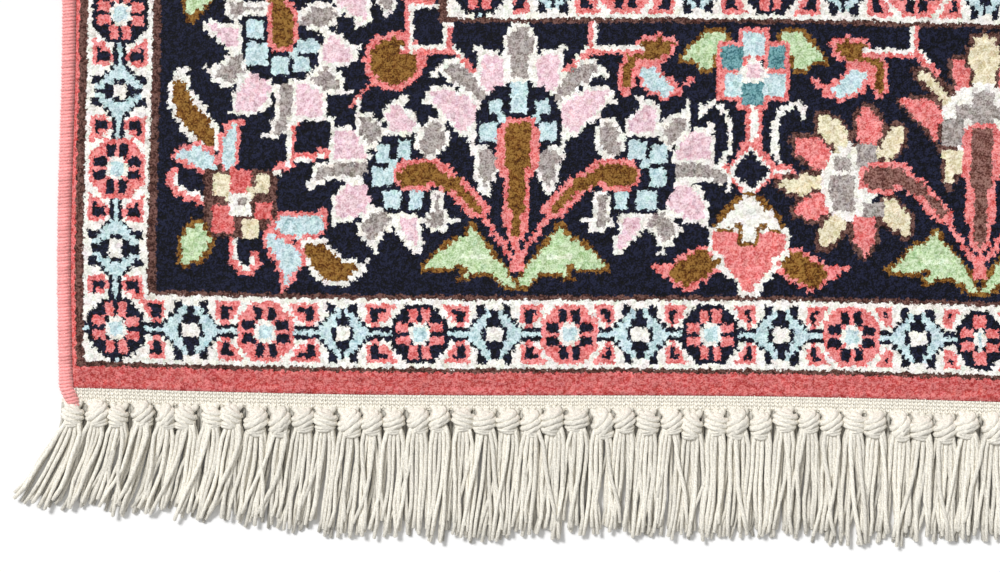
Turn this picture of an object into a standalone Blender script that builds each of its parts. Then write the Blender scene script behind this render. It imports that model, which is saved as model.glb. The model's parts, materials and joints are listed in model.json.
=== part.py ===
"""Hand-knotted silk rug, two feet by three, with knotted cotton fringes.

The rug lies flat with its pile up and the middle of its back at the origin. X runs across it, Y
along it, and +Z is up. It is made of the pieces that a rug maker makes: the knotted cloth, the
overcast cord down each long edge, and at each end the flat-woven strip with its tassels. Sizes
are in metres.
"""
import math
import random

import bmesh
import bpy

# Knotted cloth: 18 knots to the inch across, 17 along
KNOT_ACROSS = 0.00141
KNOT_ALONG = 0.0015
KNOTS_ACROSS = 425
KNOTS_ALONG = 623
CLOTH_WIDTH = KNOTS_ACROSS * KNOT_ACROSS
CLOTH_LENGTH = KNOTS_ALONG * KNOT_ALONG
NAP_HEIGHT = 0.006
NAP_SWELL = 0.00025
SIDE_HEIGHT = 0.0046
SIDE_ROUNDING = 0.0024
END_HEIGHT = 0.0033
END_SLOPE = 0.009
STEPS_ACROSS = 14
STEPS_ALONG = 48
GAP = 0.0003

# Overcast cord down each long edge
CORD_WIDTH = 0.0041
CORD_HEIGHT = 0.0048
CORD_TAIL = 0.0034
CORD_TAIL_SCALE = 0.66
RUG_WIDTH = CLOTH_WIDTH + 2 * (GAP + CORD_WIDTH)

# Columns: place across the cord and height up it, as shares of its width and height
CORD_OUTLINE = (
    (-0.34, 0.0),
    (0.34, 0.0),
    (0.5, 0.26),
    (0.5, 0.62),
    (0.27, 1.0),
    (-0.27, 1.0),
    (-0.5, 0.62),
    (-0.5, 0.26),
)

# Flat-woven strip at each end, which carries the tassels
STRIP_DEPTH = 0.0050
STRIP_HEIGHT = 0.0018
EAR_SETBACK = CORD_TAIL + 0.0004
EAR_WIDTH = 0.0047
EAR_SLOPE = 0.0007

# Tassels: one overhand knot each, and a flat lock of loose yarn past it
TASSELS = 80
TASSEL_PITCH = RUG_WIDTH / TASSELS
ROOT_WIDTH = 0.0068
LOCK_CROWN = 0.74
KNOT_DROP = 0.0007
LENGTH_JITTER = 0.0012
SWEEP_JITTER = 0.00012
SEED = 11

# Columns: distance past the strip, width, height. The tip's distance comes from TASSEL_SPREAD.
LOCK_SECTIONS = (
    (0.0014, 0.0067, 0.0046),
    (0.0062, 0.0071, 0.0052),
    (0.0090, 0.0047, 0.0034),
    (0.0200, 0.0064, 0.0026),
)
TIP_WIDTH = 0.0061
TIP_HEIGHT = 0.0012

# Columns: place across the rug, tassel length past the strip, sideways sweep of its tip
TASSEL_SPREAD = (
    (-0.304, 0.0340, -0.0120),
    (-0.266, 0.0355, -0.0082),
    (-0.230, 0.0385, -0.0048),
    (-0.190, 0.0410, -0.0024),
    (0.000, 0.0415, -0.0016),
    (0.240, 0.0405, 0.0010),
    (0.304, 0.0370, 0.0050),
)
SWEEP_REACH = 0.040
SWEEP_CURVE = 1.25

# How the straight lines of the weave wander: amplitude and wavelength
SIDE_WANDER = ((0.0007, 0.34), (0.0004, 0.13))
END_WANDER = (-0.00065, 0.28)
END_SKEW = -0.0098
SWELL_WAVES = (0.21, 0.29)

NAVY_SILK = ((0.010, 0.014, 0.030), 0.55)
CORAL_SILK = ((0.68, 0.12, 0.12), 0.60)
CREAM_COTTON = ((0.80, 0.74, 0.62), 0.85)


def clear_scene():
    for obj in list(bpy.data.objects):
        bpy.data.objects.remove(obj)


def woven(x, y, z):
    """Shift a point of the straight plan to where the hand-woven rug really has it."""
    shift_x = sum(size * math.sin(2 * math.pi * y / wave) for size, wave in SIDE_WANDER)
    size, wave = END_WANDER
    shift_y = END_SKEW * x + size * math.sin(2 * math.pi * x / wave)
    return (x + shift_x, y + shift_y, z)


def ease(value):
    """Smooth step from 0 to 1."""
    value = min(max(value, 0.0), 1.0)
    return value * value * (3 - 2 * value)


def read_spread(x, column):
    """Value of a TASSEL_SPREAD column at a place across the rug."""
    for low, high in zip(TASSEL_SPREAD, TASSEL_SPREAD[1:]):
        if x <= high[0]:
            share = max(0.0, (x - low[0]) / (high[0] - low[0]))
            return low[column] + share * (high[column] - low[column])
    return TASSEL_SPREAD[-1][column]


def nap_top(x, y):
    """Height of the pile: rounded at the sides, combed down over the last rows at the ends."""
    to_side = CLOTH_WIDTH / 2 - abs(x)
    to_end = CLOTH_LENGTH / 2 - abs(y)
    side = SIDE_HEIGHT + (NAP_HEIGHT - SIDE_HEIGHT) * math.sin(
        math.pi / 2 * min(1.0, to_side / SIDE_ROUNDING))
    end = END_HEIGHT + (NAP_HEIGHT - END_HEIGHT) * ease(to_end / END_SLOPE)
    wave_x, wave_y = SWELL_WAVES
    swell = NAP_SWELL * math.sin(2 * math.pi * x / wave_x) * math.sin(2 * math.pi * y / wave_y)
    return min(side, end) + swell * ease(to_end / END_SLOPE) * ease(to_side / SIDE_ROUNDING)


def stations(length, edge, steps):
    """Even places from -length/2 to length/2, with three closer ones at each edge."""
    inner = length / 2 - edge
    near = [length / 2, length / 2 - edge / 3, length / 2 - edge * 2 / 3]
    even = [-inner + 2 * inner * i / steps for i in range(steps + 1)]
    return [-value for value in near] + even + near[::-1]


def make_material(name, finish):
    colour, roughness = finish
    material = bpy.data.materials.new(name)
    material.use_nodes = True
    shader = material.node_tree.nodes["Principled BSDF"]
    shader.inputs["Base Color"].default_value = (*colour, 1.0)
    shader.inputs["Roughness"].default_value = roughness
    shader.inputs["Metallic"].default_value = 0.0
    return material


def add_object(name, bm, material):
    bmesh.ops.recalc_face_normals(bm, faces=bm.faces)
    mesh = bpy.data.meshes.new(name)
    bm.to_mesh(mesh)
    bm.free()
    mesh.materials.append(material)
    obj = bpy.data.objects.new(name, mesh)
    bpy.context.collection.objects.link(obj)
    return obj


def skin(bm, rings):
    """Join each ring of vertices to the next with four-sided faces."""
    for ring, following in zip(rings, rings[1:]):
        for i in range(len(ring)):
            j = (i + 1) % len(ring)
            bm.faces.new((ring[i], ring[j], following[j], following[i]))


def make_cloth(material):
    """The knotted cloth: a grid for the nap, walls down from its rim and a flat back."""
    across = stations(CLOTH_WIDTH, SIDE_ROUNDING, STEPS_ACROSS)
    along = stations(CLOTH_LENGTH, END_SLOPE, STEPS_ALONG)
    bm = bmesh.new()
    grid = [[bm.verts.new(woven(x, y, nap_top(x, y))) for x in across] for y in along]
    for row, following in zip(grid, grid[1:]):
        for i in range(len(across) - 1):
            bm.faces.new((row[i], row[i + 1], following[i + 1], following[i]))
    rim = [edge for edge in bm.edges if edge.is_boundary]
    walls = bmesh.ops.extrude_edge_only(bm, edges=rim)["geom"]
    floor = [item for item in walls if isinstance(item, bmesh.types.BMVert)]
    for vert in floor:
        vert.co.z = 0.0
    back = [edge for edge in bm.edges if edge.is_boundary]
    bmesh.ops.edgeloop_fill(bm, edges=back)
    return add_object("rug_pile", bm, material)


def cord_ring(bm, side, y, scale):
    """Eight points round the cord, flat underneath, drawn in by scale towards its tail."""
    middle = side * (CLOTH_WIDTH / 2 + GAP + CORD_WIDTH / 2)
    ring = []
    for across, up in CORD_OUTLINE:
        x = middle + across * CORD_WIDTH * scale
        ring.append(bm.verts.new(woven(x, y, up * CORD_HEIGHT * scale)))
    return ring


def make_edge_cord(name, side, material):
    """The overcast cord beside the cloth, running a little past its ends."""
    bm = bmesh.new()
    end = CLOTH_LENGTH / 2
    places = [(y, 1.0) for y in stations(CLOTH_LENGTH, END_SLOPE, STEPS_ALONG)]
    places.insert(0, (-end - CORD_TAIL, CORD_TAIL_SCALE))
    places.append((end + CORD_TAIL, CORD_TAIL_SCALE))
    rings = [cord_ring(bm, side, y, scale) for y, scale in places]
    skin(bm, rings)
    bm.faces.new(rings[0])
    bm.faces.new(rings[-1])
    return add_object(name, bm, material)


def root_span(index):
    """Left and right of a tassel's root. The outermost two stay clear of the edge cords."""
    middle = (index - (TASSELS - 1) / 2) * TASSEL_PITCH
    inner = RUG_WIDTH / 2 - EAR_WIDTH
    left = middle - ROOT_WIDTH / 2
    right = middle + ROOT_WIDTH / 2
    if index == 0:
        right = -inner
    if index == TASSELS - 1:
        left = inner
    return left, right


def strip_ring(bm, x, y_edge):
    """Four corners of the strip at one place across: back, back top, front top, front."""
    in_ear = abs(x) > RUG_WIDTH / 2 - EAR_WIDTH - EAR_SLOPE / 2
    back = EAR_SETBACK if in_ear else GAP
    corners = ((back, 0.0), (back, STRIP_HEIGHT), (STRIP_DEPTH, STRIP_HEIGHT), (STRIP_DEPTH, 0.0))
    return [bm.verts.new(woven(x, y_edge - out, z)) for out, z in corners]


def lock_ring(bm, middle, sweep, out, width, height, y_edge):
    """Four corners of a lock, wider at its foot, swept sideways past its knot."""
    knot_end = LOCK_SECTIONS[1][0]
    bend = max(0.0, (out - knot_end) / (SWEEP_REACH - knot_end))
    x = middle + sweep * bend ** SWEEP_CURVE
    y = y_edge - STRIP_DEPTH - out
    top = width * LOCK_CROWN / 2
    corners = ((top, height), (-top, height), (-width / 2, 0.0), (width / 2, 0.0))
    return [bm.verts.new(woven(x + dx, y, z)) for dx, z in corners]


def make_fringe(name, turn, material):
    """The woven strip and its row of tassels, built for the -Y end and turned for the other."""
    dice = random.Random(SEED)
    bm = bmesh.new()
    y_edge = -CLOTH_LENGTH / 2
    spans = [root_span(index) for index in range(TASSELS)]
    inner = RUG_WIDTH / 2 - EAR_WIDTH - EAR_SLOPE
    places = [-RUG_WIDTH / 2, -inner, inner, RUG_WIDTH / 2]
    places += [x for span in spans for x in span]
    rings = {x: strip_ring(bm, x, y_edge) for x in sorted(places)}
    ordered = list(rings)
    roots = {left: right for left, right in spans}
    for x, following in zip(ordered, ordered[1:]):
        ring, next_ring = rings[x], rings[following]
        for i in range(4):
            j = (i + 1) % 4
            is_root = i == 2 and roots.get(x) == following
            if not is_root:
                bm.faces.new((ring[i], ring[j], next_ring[j], next_ring[i]))
    bm.faces.new(rings[ordered[0]])
    bm.faces.new(rings[ordered[-1]])

    for index, (left, right) in enumerate(spans):
        middle = (index - (TASSELS - 1) / 2) * TASSEL_PITCH
        length = read_spread(middle, 1) + dice.uniform(-LENGTH_JITTER, LENGTH_JITTER)
        sweep = read_spread(middle, 2) + dice.uniform(-SWEEP_JITTER, SWEEP_JITTER)
        drop = KNOT_DROP * dice.random()
        root = [rings[right][2], rings[left][2], rings[left][3], rings[right][3]]
        lock = [root]
        for out, width, height in LOCK_SECTIONS:
            lock.append(lock_ring(bm, middle, sweep, out + drop, width, height, y_edge))
        lock.append(lock_ring(bm, middle, sweep, length, TIP_WIDTH, TIP_HEIGHT, y_edge))
        skin(bm, lock)
        bm.faces.new(lock[-1])

    if turn:
        for vert in bm.verts:
            vert.co.x = -vert.co.x
            vert.co.y = -vert.co.y
    return add_object(name, bm, material)


def build():
    clear_scene()
    silk = make_material("navy_silk_pile", NAVY_SILK)
    overcast = make_material("coral_silk_overcast", CORAL_SILK)
    cotton = make_material("cream_cotton_yarn", CREAM_COTTON)
    make_cloth(silk)
    make_edge_cord("selvedge_left", -1, overcast)
    make_edge_cord("selvedge_right", 1, overcast)
    make_fringe("fringe_front", False, cotton)
    make_fringe("fringe_back", True, cotton)


build()
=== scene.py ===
# %% [markdown]
# # Hand-knotted silk rug
# This notebook dresses the rug's CAD model. The CAD holds the plain shapes. Here each knot of the
# pile gets its colour, and the cotton yarn of the fringes is laid strand by strand. The first cell
# loads the CAD, so every later piece can be placed in the same frame.

# %% Load the CAD
import math
import random

import bpy
import numpy as np
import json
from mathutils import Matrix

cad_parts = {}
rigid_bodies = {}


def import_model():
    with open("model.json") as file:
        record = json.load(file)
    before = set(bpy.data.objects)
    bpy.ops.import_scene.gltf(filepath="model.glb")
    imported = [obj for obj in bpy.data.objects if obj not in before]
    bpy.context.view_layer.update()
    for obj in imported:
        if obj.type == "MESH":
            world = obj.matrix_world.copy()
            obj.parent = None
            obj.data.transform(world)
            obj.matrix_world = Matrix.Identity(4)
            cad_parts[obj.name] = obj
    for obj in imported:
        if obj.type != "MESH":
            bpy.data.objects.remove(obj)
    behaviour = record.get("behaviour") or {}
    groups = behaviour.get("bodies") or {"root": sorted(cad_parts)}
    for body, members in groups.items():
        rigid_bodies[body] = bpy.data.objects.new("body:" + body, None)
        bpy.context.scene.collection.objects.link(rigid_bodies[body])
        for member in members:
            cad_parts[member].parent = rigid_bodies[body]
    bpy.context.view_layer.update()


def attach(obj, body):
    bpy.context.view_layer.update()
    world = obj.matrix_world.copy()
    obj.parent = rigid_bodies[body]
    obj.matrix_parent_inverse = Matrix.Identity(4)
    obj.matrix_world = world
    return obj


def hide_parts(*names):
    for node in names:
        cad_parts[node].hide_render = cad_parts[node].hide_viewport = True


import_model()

# %% [markdown]
# ## Sizes
# These are the sizes that the CAD was built with, in metres. The rug lies with the middle of its
# back at the origin, X across it and Y along it. One knot is 1.41 mm by 1.5 mm.

# %% Sizes
KNOT_ACROSS = 0.00141
KNOT_ALONG = 0.0015
KNOTS_ACROSS = 425
KNOTS_ALONG = 623
CLOTH_WIDTH = KNOTS_ACROSS * KNOT_ACROSS
CLOTH_LENGTH = KNOTS_ALONG * KNOT_ALONG
NAP_HEIGHT = 0.006
NAP_SWELL = 0.00025
SIDE_HEIGHT = 0.0046
SIDE_ROUNDING = 0.0024
END_HEIGHT = 0.0033
END_SLOPE = 0.009
SWELL_WAVES = (0.21, 0.29)

GAP = 0.0003
CORD_WIDTH = 0.0041
CORD_TAIL = 0.0034
RUG_WIDTH = CLOTH_WIDTH + 2 * (GAP + CORD_WIDTH)
EAR_SETBACK = CORD_TAIL + 0.0004
EAR_WIDTH = 0.0047
EAR_SLOPE = 0.0007

STRIP_DEPTH = 0.0050
TASSELS = 80
TASSEL_PITCH = RUG_WIDTH / TASSELS
KNOT_DROP = 0.0007
LENGTH_JITTER = 0.0012
SWEEP_JITTER = 0.00012
SWEEP_START = 0.0062
SWEEP_REACH = 0.040
SWEEP_CURVE = 1.25
SEED = 11

# Columns: place across the rug, tassel length past the strip, sideways sweep of its tip
TASSEL_SPREAD = (
    (-0.304, 0.0340, -0.0120),
    (-0.266, 0.0355, -0.0082),
    (-0.230, 0.0385, -0.0048),
    (-0.190, 0.0410, -0.0024),
    (0.000, 0.0415, -0.0016),
    (0.240, 0.0405, 0.0010),
    (0.304, 0.0370, 0.0050),
)

SIDE_WANDER = ((0.0007, 0.34), (0.0004, 0.13))
END_WANDER = (-0.00065, 0.28)
END_SKEW = -0.0098


def woven(x, y):
    """Where a point of the straight plan lies on the hand-woven rug, whose lines drift a little."""
    shift_x = sum(size * np.sin(2 * math.pi * y / wave) for size, wave in SIDE_WANDER)
    size, wave = END_WANDER
    shift_y = END_SKEW * x + size * np.sin(2 * math.pi * x / wave)
    return x + shift_x, y + shift_y


def ease(value):
    """Smooth step from 0 to 1."""
    value = np.clip(value, 0.0, 1.0)
    return value * value * (3 - 2 * value)


def nap_top(x, y):
    """Height of the pile: rounded at the sides, combed down over the last rows at the ends."""
    to_side = CLOTH_WIDTH / 2 - np.abs(x)
    to_end = CLOTH_LENGTH / 2 - np.abs(y)
    rise = np.sin(math.pi / 2 * np.clip(to_side / SIDE_ROUNDING, 0.0, 1.0))
    side = SIDE_HEIGHT + (NAP_HEIGHT - SIDE_HEIGHT) * rise
    end = END_HEIGHT + (NAP_HEIGHT - END_HEIGHT) * ease(to_end / END_SLOPE)
    wave_x, wave_y = SWELL_WAVES
    swell = NAP_SWELL * np.sin(2 * math.pi * x / wave_x) * np.sin(2 * math.pi * y / wave_y)
    return np.minimum(side, end) + swell * ease(to_end / END_SLOPE) * ease(to_side / SIDE_ROUNDING)


print("Cloth", round(CLOTH_WIDTH * 1000, 1), "by", round(CLOTH_LENGTH * 1000, 1), "mm")

# %% [markdown]
# ## Yarn colours
# Each colour is written as the hex number that it has on screen. Blender works in linear light, so
# one function turns the hex number into linear values.

# %% Yarn colours
YARNS = {
    "navy": "090C1F",
    "ivory": "F3F0E9",
    "coral": "E5817F",
    # deep coral: a darker coral yarn, which on the pile's sloping edge knots also stands for painted shade
    "deep coral": "D96C6A",
    "light blue": "C6DDE1",
    "olive": "7A511C",
    "brown": "5A3A33",
    "warm brown": "7A5149",
    "grey": "A39995",
    "pink": "EBCAD3",
    "green": "C0D7AC",
    "pale green": "E0EDCF",
    "straw": "E5DABB",
    "teal": "5E9096",
}
YARN_NAMES = list(YARNS)


def linear(code):
    """Linear red, green and blue of a hex colour."""
    values = []
    for start in (0, 2, 4):
        value = int(code[start:start + 2], 16) / 255
        if value <= 0.04045:
            values.append(value / 12.92)
        else:
            values.append(((value + 0.055) / 1.055) ** 2.4)
    return tuple(values)


print(len(YARNS), "yarn colours")

# %% [markdown]
# ## Drawing on the chart
# A weaver reads a chart with one square for each knot. Here it is an array of yarn numbers. A shape
# is drawn by its distance: each function gives the distance in millimetres from every knot to the
# shape's edge, negative inside, and `paint` colours the knots that are near enough.

# %% Drawing on the chart
def edge_distance(place, start, end):
    """Distance to a straight edge between two points."""
    across, up = place
    edge_x, edge_y = end[0] - start[0], end[1] - start[1]
    from_x, from_y = across - start[0], up - start[1]
    share = np.clip((from_x * edge_x + from_y * edge_y) / (edge_x ** 2 + edge_y ** 2), 0, 1)
    return np.hypot(from_x - share * edge_x, from_y - share * edge_y)


def line(place, points):
    """Distance to a line through the points."""
    edges = [edge_distance(place, start, end) for start, end in zip(points, points[1:])]
    return np.minimum.reduce(edges)


def polygon(place, points):
    """Distance to a closed outline, negative inside."""
    across, up = place
    closed = points + points[:1]
    inside = np.zeros(across.shape, dtype=bool)
    for (x0, y0), (x1, y1) in zip(closed, closed[1:]):
        if y0 != y1:
            crosses = (y0 > up) != (y1 > up)
            inside ^= crosses & (across < x0 + (up - y0) * (x1 - x0) / (y1 - y0))
    distance = line(place, closed)
    return np.where(inside, -distance, distance)


def block(place, middle, width, height):
    """Distance to an upright rectangle, negative inside."""
    across, up = place
    out_x = np.abs(across - middle[0]) - width / 2
    out_y = np.abs(up - middle[1]) - height / 2
    return np.maximum(out_x, out_y)


def disc(place, middle, radius_x, radius_y):
    """Distance to an oval, negative inside."""
    across, up = place
    reach = np.hypot((across - middle[0]) / radius_x, (up - middle[1]) / radius_y)
    return (reach - 1) * min(radius_x, radius_y)


def petal(place, root, tip, width):
    """Distance to a broad petal. Its point lies on the side that is turned outward."""
    horn_side = ((0.0, 0.75), (0.3, 1.0), (0.74, 0.98), (1.02, 0.42))
    other_side = ((0.0, 0.75), (0.3, 1.0), (0.62, 0.9), (0.86, 0.35), (1.0, 0.0))
    span_x, span_y = tip[0] - root[0], tip[1] - root[1]
    span = math.hypot(span_x, span_y)
    side_x, side_y = -span_y / span * width / 2, span_x / span * width / 2
    left, right = (horn_side, other_side) if span_y < 0 else (other_side, horn_side)
    outline = []
    for shares, sign in ((left, 1), (right, -1)):
        edge = [(root[0] + along * span_x + sign * out * side_x,
                 root[1] + along * span_y + sign * out * side_y) for along, out in shares]
        outline += edge[::sign]
    return polygon(place, outline)


def paint(layer, where, yarn):
    layer[where] = YARN_NAMES.index(yarn)


def paint_edged(layer, distance, edge, fill, width=1.4):
    """Fill a shape, with an edge of another yarn round its outside."""
    paint(layer, distance < width, edge)
    paint(layer, distance < 0, fill)


def paint_lines(layer, place, rows):
    """Paint lines. Each row has a yarn, half of the line's width and its points."""
    for yarn, reach, points in rows:
        paint(layer, line(place, points) < reach, yarn)


print("Shapes on the chart: line, polygon, block, disc and petal")

# %% [markdown]
# ## The large flower group
# A stem with two leaves carries a crown of petals and, on each side, a flower on a bent arm. Both
# halves are alike, so only one is described: `across` is the distance from the group's middle line
# and `up` the distance from the border's outer edge. The weaver's left flower lies a little nearer
# to the stem in the first group. Two sets of yarn and of petals make two groups.

# %% Large flower group
# Side petals, in columns: root and tip from the flower's middle, width, and which of the two petal
# yarns. Side shapes and crown petals: outline, and which petal yarn. Tips: a line in the edge's yarn
# that runs out from a petal. Blocks and discs: middle and size. All are in millimetres.
ROSE_GROUP = {
    "petals": ("grey", "pink"),
    "petal_edge": "ivory",
    "core": "olive",
    "core_edge": "coral",
    "block": "light blue",
    "block_edge": "navy",
    "side_middle": (36, 41),
    "side_disc": ((41.6, 39.2), 10.6, 12.4),
    "crown_disc": ((0, 58), 14.0, 12.8),
    "side_shapes": (
        ([(54.8, 59.5), (50.7, 58.6), (48.4, 56.2), (46.6, 54.5), (48.4, 52.4),
          (50.1, 49.8), (52.5, 51.8), (54.3, 54.8)], 0),
        ([(44.5, 62.1), (42.8, 63.9), (40.1, 61.2), (37.2, 58.6), (35.9, 55.5),
          (38.4, 54.3), (45.4, 53.8), (44.4, 56.2), (45.7, 59.2)], 1),
        ([(31.3, 56.8), (28.3, 57.4), (26.6, 54.2), (26.6, 50.3), (29.2, 47.4),
          (32.5, 45.6), (33.8, 48), (33.8, 52.4)], 0),
        ([(62.5, 53.8), (55.7, 53.6), (53.7, 50.9), (52.5, 47.4), (51.3, 44.2),
          (56.6, 45.6), (63.1, 45.3), (63.1, 50.3)], 1),
        ([(68.1, 41.5), (61.3, 43.6), (51.9, 43.6), (51.9, 39.4), (61.3, 39.3),
          (66.9, 38.3), (68.7, 38.6)], 0),
        ([(58.4, 35.6), (52.5, 36.2), (49.5, 34.4), (49.5, 30.9), (52.5, 27.4),
          (56.6, 25.9), (61.4, 25.5), (61.9, 30.3), (60.1, 33.3)], 1),
        ([(49, 28), (43.1, 25.9), (43.1, 24.1), (46.6, 21.5), (48.4, 18.2),
          (50.7, 18.2), (53, 22.7), (50.7, 25.3)], 0),
        ([(40.7, 25.9), (34.8, 25.5), (34.8, 21.5), (33.5, 16.8), (34.2, 15.3),
          (37.2, 18.5), (40.1, 21.5)], 1),
        ([(28.9, 33.3), (26.8, 33.3), (26.6, 27.4), (25.4, 23.1), (28.9, 22.8),
          (31.2, 25), (28.9, 27.4)], 0),
    ),
    "side_tips": (
        ((54.8, 59.8), (55.3, 63.3)),
        ((42.2, 64.5), (39.2, 64.9)),
        ((33.9, 52.4), (35.1, 53.9)),
        ((63.1, 53.6), (63.5, 56.5)),
        ((69.3, 38.6), (69.9, 35)),
        ((61.8, 25.6), (62, 23.1)),
        ((49.8, 17.9), (47.5, 14.5)),
        ((26, 24.4), (21.6, 25.1)),
    ),
    "side_blocks": (
        ((3.5, 7.5), 4.8, 7.1),
        ((10.2, 5.7), 5.0, 5.0),
        ((6.4, 2.5), 2.7, 2.3),
        ((10.2, -1.9), 6.1, 6.0),
        ((6.9, -9.5), 6.2, 6.2),
        ((-1.4, -9.6), 4.6, 5.4),
    ),
    "crown_shapes": (
        ([(4, 47.9), (13.4, 47.9), (13.3, 42), (11.7, 37.8), (10.4, 34.8), (9, 38), (8.6, 41.4),
          (4, 42)], 0),
        ([(12.4, 61.4), (15.9, 64.8), (21.3, 67.2), (27.4, 68.2), (29.3, 67), (27.4, 63.6), (25, 60),
          (21.3, 57), (18, 54), (15.8, 52.8), (15.4, 57.4), (13.7, 58.8)], 1),
        ([(11.7, 65.3), (12, 67.7), (14.8, 72), (19, 76), (24, 76.6), (26, 75), (24, 73), (21.5, 71),
          (17.8, 68.5), (14.2, 65.3)], 0),
        ([(5.2, 73.4), (5.6, 78.4), (8.5, 80), (12.4, 80.4), (13, 76), (12.6, 70.5), (10, 66.6),
          (6.4, 66.4)], 1),
        ([(0, 89.2), (2, 88.2), (3.8, 85.6), (3.8, 81.4), (2.8, 77), (2.4, 71.6), (-3, 71.6),
          (-3, 89.2)], 0),
    ),
    "crown_tips": (
        ((28.6, 65.8), (32.3, 63.7)),
        ((16.6, 54.6), (16.7, 52.2)),
        ((25.6, 75), (28.4, 73.2)),
        ((12.4, 80.8), (14.8, 82.2)),
        ((14.1, 47.5), (14.9, 51.8)),
        ((10.2, 36), (10.0, 33.8)),
    ),
    "crown_blocks": (
        ((0, 65.8), 5.4, 9.6),
        ((7.9, 62.5), 3.7, 5.5),
        ((6, 58.8), 3.2, 2.6),
        ((9.9, 54.3), 5.4, 7.4),
    ),
}
SUN_GROUP = {
    "petals": ("straw", "coral"),
    "petal_edge": "brown",
    "core": "warm brown",
    "core_edge": "coral",
    "block": "grey",
    "block_edge": "ivory",
    "side_middle": (41.5, 39.5),
    "side_disc": ((43.4, 38.4), 9.2, 12.2),
    "crown_disc": ((0, 60), 14.0, 11.8),
    "side_petals": (
        ((-8.5, 7.5), (-14.8, 17.2), 7.0, 0),
        ((4.6, 9.2), (10.8, 21.2), 8.0, 0),
        ((9.6, -1.8), (24.8, -3.2), 6.5, 0),
        ((4.3, -11.0), (9.8, -23.2), 6.8, 0),
        ((-9.4, -7.5), (-18.6, -16.8), 7.5, 0),
        ((-4.2, 12.0), (-4.2, 23.8), 8.0, 1),
        ((8.5, 4.4), (19.2, 13.6), 8.6, 1),
        ((8.5, -7.0), (19.2, -12.6), 8.2, 1),
        ((-3.0, -11.0), (-4.8, -24.6), 7.6, 1),
    ),
    "side_blocks": (
        ((-3.7, 8.4), 7.6, 7.3),
        ((4.4, 5.4), 5.2, 4.9),
        ((4.0, -2.0), 9.2, 7.3),
        ((3.2, -8.0), 7.0, 5.2),
        ((-6.2, -9.6), 5.8, 3.9),
    ),
    "crown_shapes": (
        ([(12.8, 50.2), (4, 50.2), (4, 44.4), (8.2, 42), (10.4, 38), (12.4, 42)], 0),
        ([(27.6, 65.6), (15.9, 65.8), (14, 62.8), (11.6, 61.4), (14.9, 57.6), (15.2, 53.2), (18.9, 57.2),
          (23.2, 61.4)], 1),
        ([(22.8, 76), (17.1, 74.4), (12.8, 70), (7.9, 65), (9.4, 62.4), (11.8, 62.8), (14.6, 67.4),
          (18.3, 70.6), (22, 73.6)], 0),
        ([(9.8, 79.6), (6.1, 79.6), (4.3, 75.6), (3.6, 70), (5.4, 66), (9.1, 70.8), (10.4, 75.4)], 1),
        ([(0, 88.4), (3.2, 87.2), (4.4, 83), (4.2, 76), (3.6, 69.6), (-3, 69.6), (-3, 88.4)], 0),
    ),
    "crown_blocks": (
        ((0, 64.0), 8.4, 9.6),
        ((6.4, 62.6), 4.6, 5.4),
        ((9.8, 55.4), 6.4, 8.6),
    ),
}

TIP_REACH = {"side": 0.9, "crown": 0.8}
CORE_EDGE = [(0, 59.5), (4.5, 58.5), (6.6, 56), (6.4, 42), (4.6, 38), (4.2, 26), (3, 19), (0, 15),
             (-6, 15), (-6, 59.5)]
CORE = [(0, 57.8), (3.4, 57), (4.2, 54), (4, 44), (3, 40), (2.2, 30), (1.8, 21), (0, 18), (-4, 18),
        (-4, 57.8)]
STEM_LINES = (
    ("pale green", 1.0, ((10, 12.6), (17.5, 13.4))),
    ("coral", 0.75, ((0, 13), (0, 18))),
    ("coral", 1.0, ((15.2, 74.9), (22.6, 81.0))),
    ("coral", 0.75, ((22.8, 80.8), (39.5, 80.4))),
    ("ivory", 0.75, ((23.5, 82.4), (39.5, 81.9))),
    ("coral", 0.75, ((22.9, 82.4), (22.9, 89.5))),
    ("ivory", 0.75, ((24.4, 82.4), (24.0, 90.5))),
    ("ivory", 0.5, ((17.5, 78.2), (21.5, 81.8))),
)
LEAF = [(0, 2.6), (2.5, 7.5), (5, 11), (8.5, 15), (11.8, 19), (14.8, 23.6), (16.4, 19.6), (20.5, 18.2),
        (24.5, 15), (27.5, 11.8), (30, 9.6), (26.5, 8.6), (21.5, 8.9), (17.6, 11), (15.6, 9.4), (18.4, 5.4),
        (15.4, 6.8), (12, 8.4), (9, 8), (6, 6), (3, 3.4)]


def draw_side_flower(layer, place, yarns):
    middle = yarns["side_middle"]
    for root, tip, width, number in yarns.get("side_petals", ()):
        root = (middle[0] + root[0], middle[1] + root[1])
        tip = (middle[0] + tip[0], middle[1] + tip[1])
        shape = petal(place, root, tip, width)
        paint_edged(layer, shape, yarns["petal_edge"], yarns["petals"][number])
    draw_shapes(layer, place, yarns, "side")
    for (out, up), width, height in yarns["side_blocks"]:
        shape = block(place, (middle[0] + out, middle[1] + up), width, height)
        paint(layer, shape < 0, yarns["block"])


def draw_shapes(layer, place, yarns, part):
    """The outlined petals of the side flower or the crown, their tips, and the disc on them."""
    for points, number in yarns.get(part + "_shapes", ()):
        paint_edged(layer, polygon(place, points), yarns["petal_edge"], yarns["petals"][number])
    for tip in yarns.get(part + "_tips", ()):
        paint(layer, line(place, tip) < TIP_REACH[part], yarns["petal_edge"])
    paint(layer, disc(place, *yarns[part + "_disc"]) < 0, yarns["block_edge"])


def draw_crown(layer, place, yarns):
    draw_shapes(layer, place, yarns, "crown")
    for middle, width, height in yarns["crown_blocks"]:
        paint(layer, block(place, middle, width, height) < 0, yarns["block"])


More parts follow.
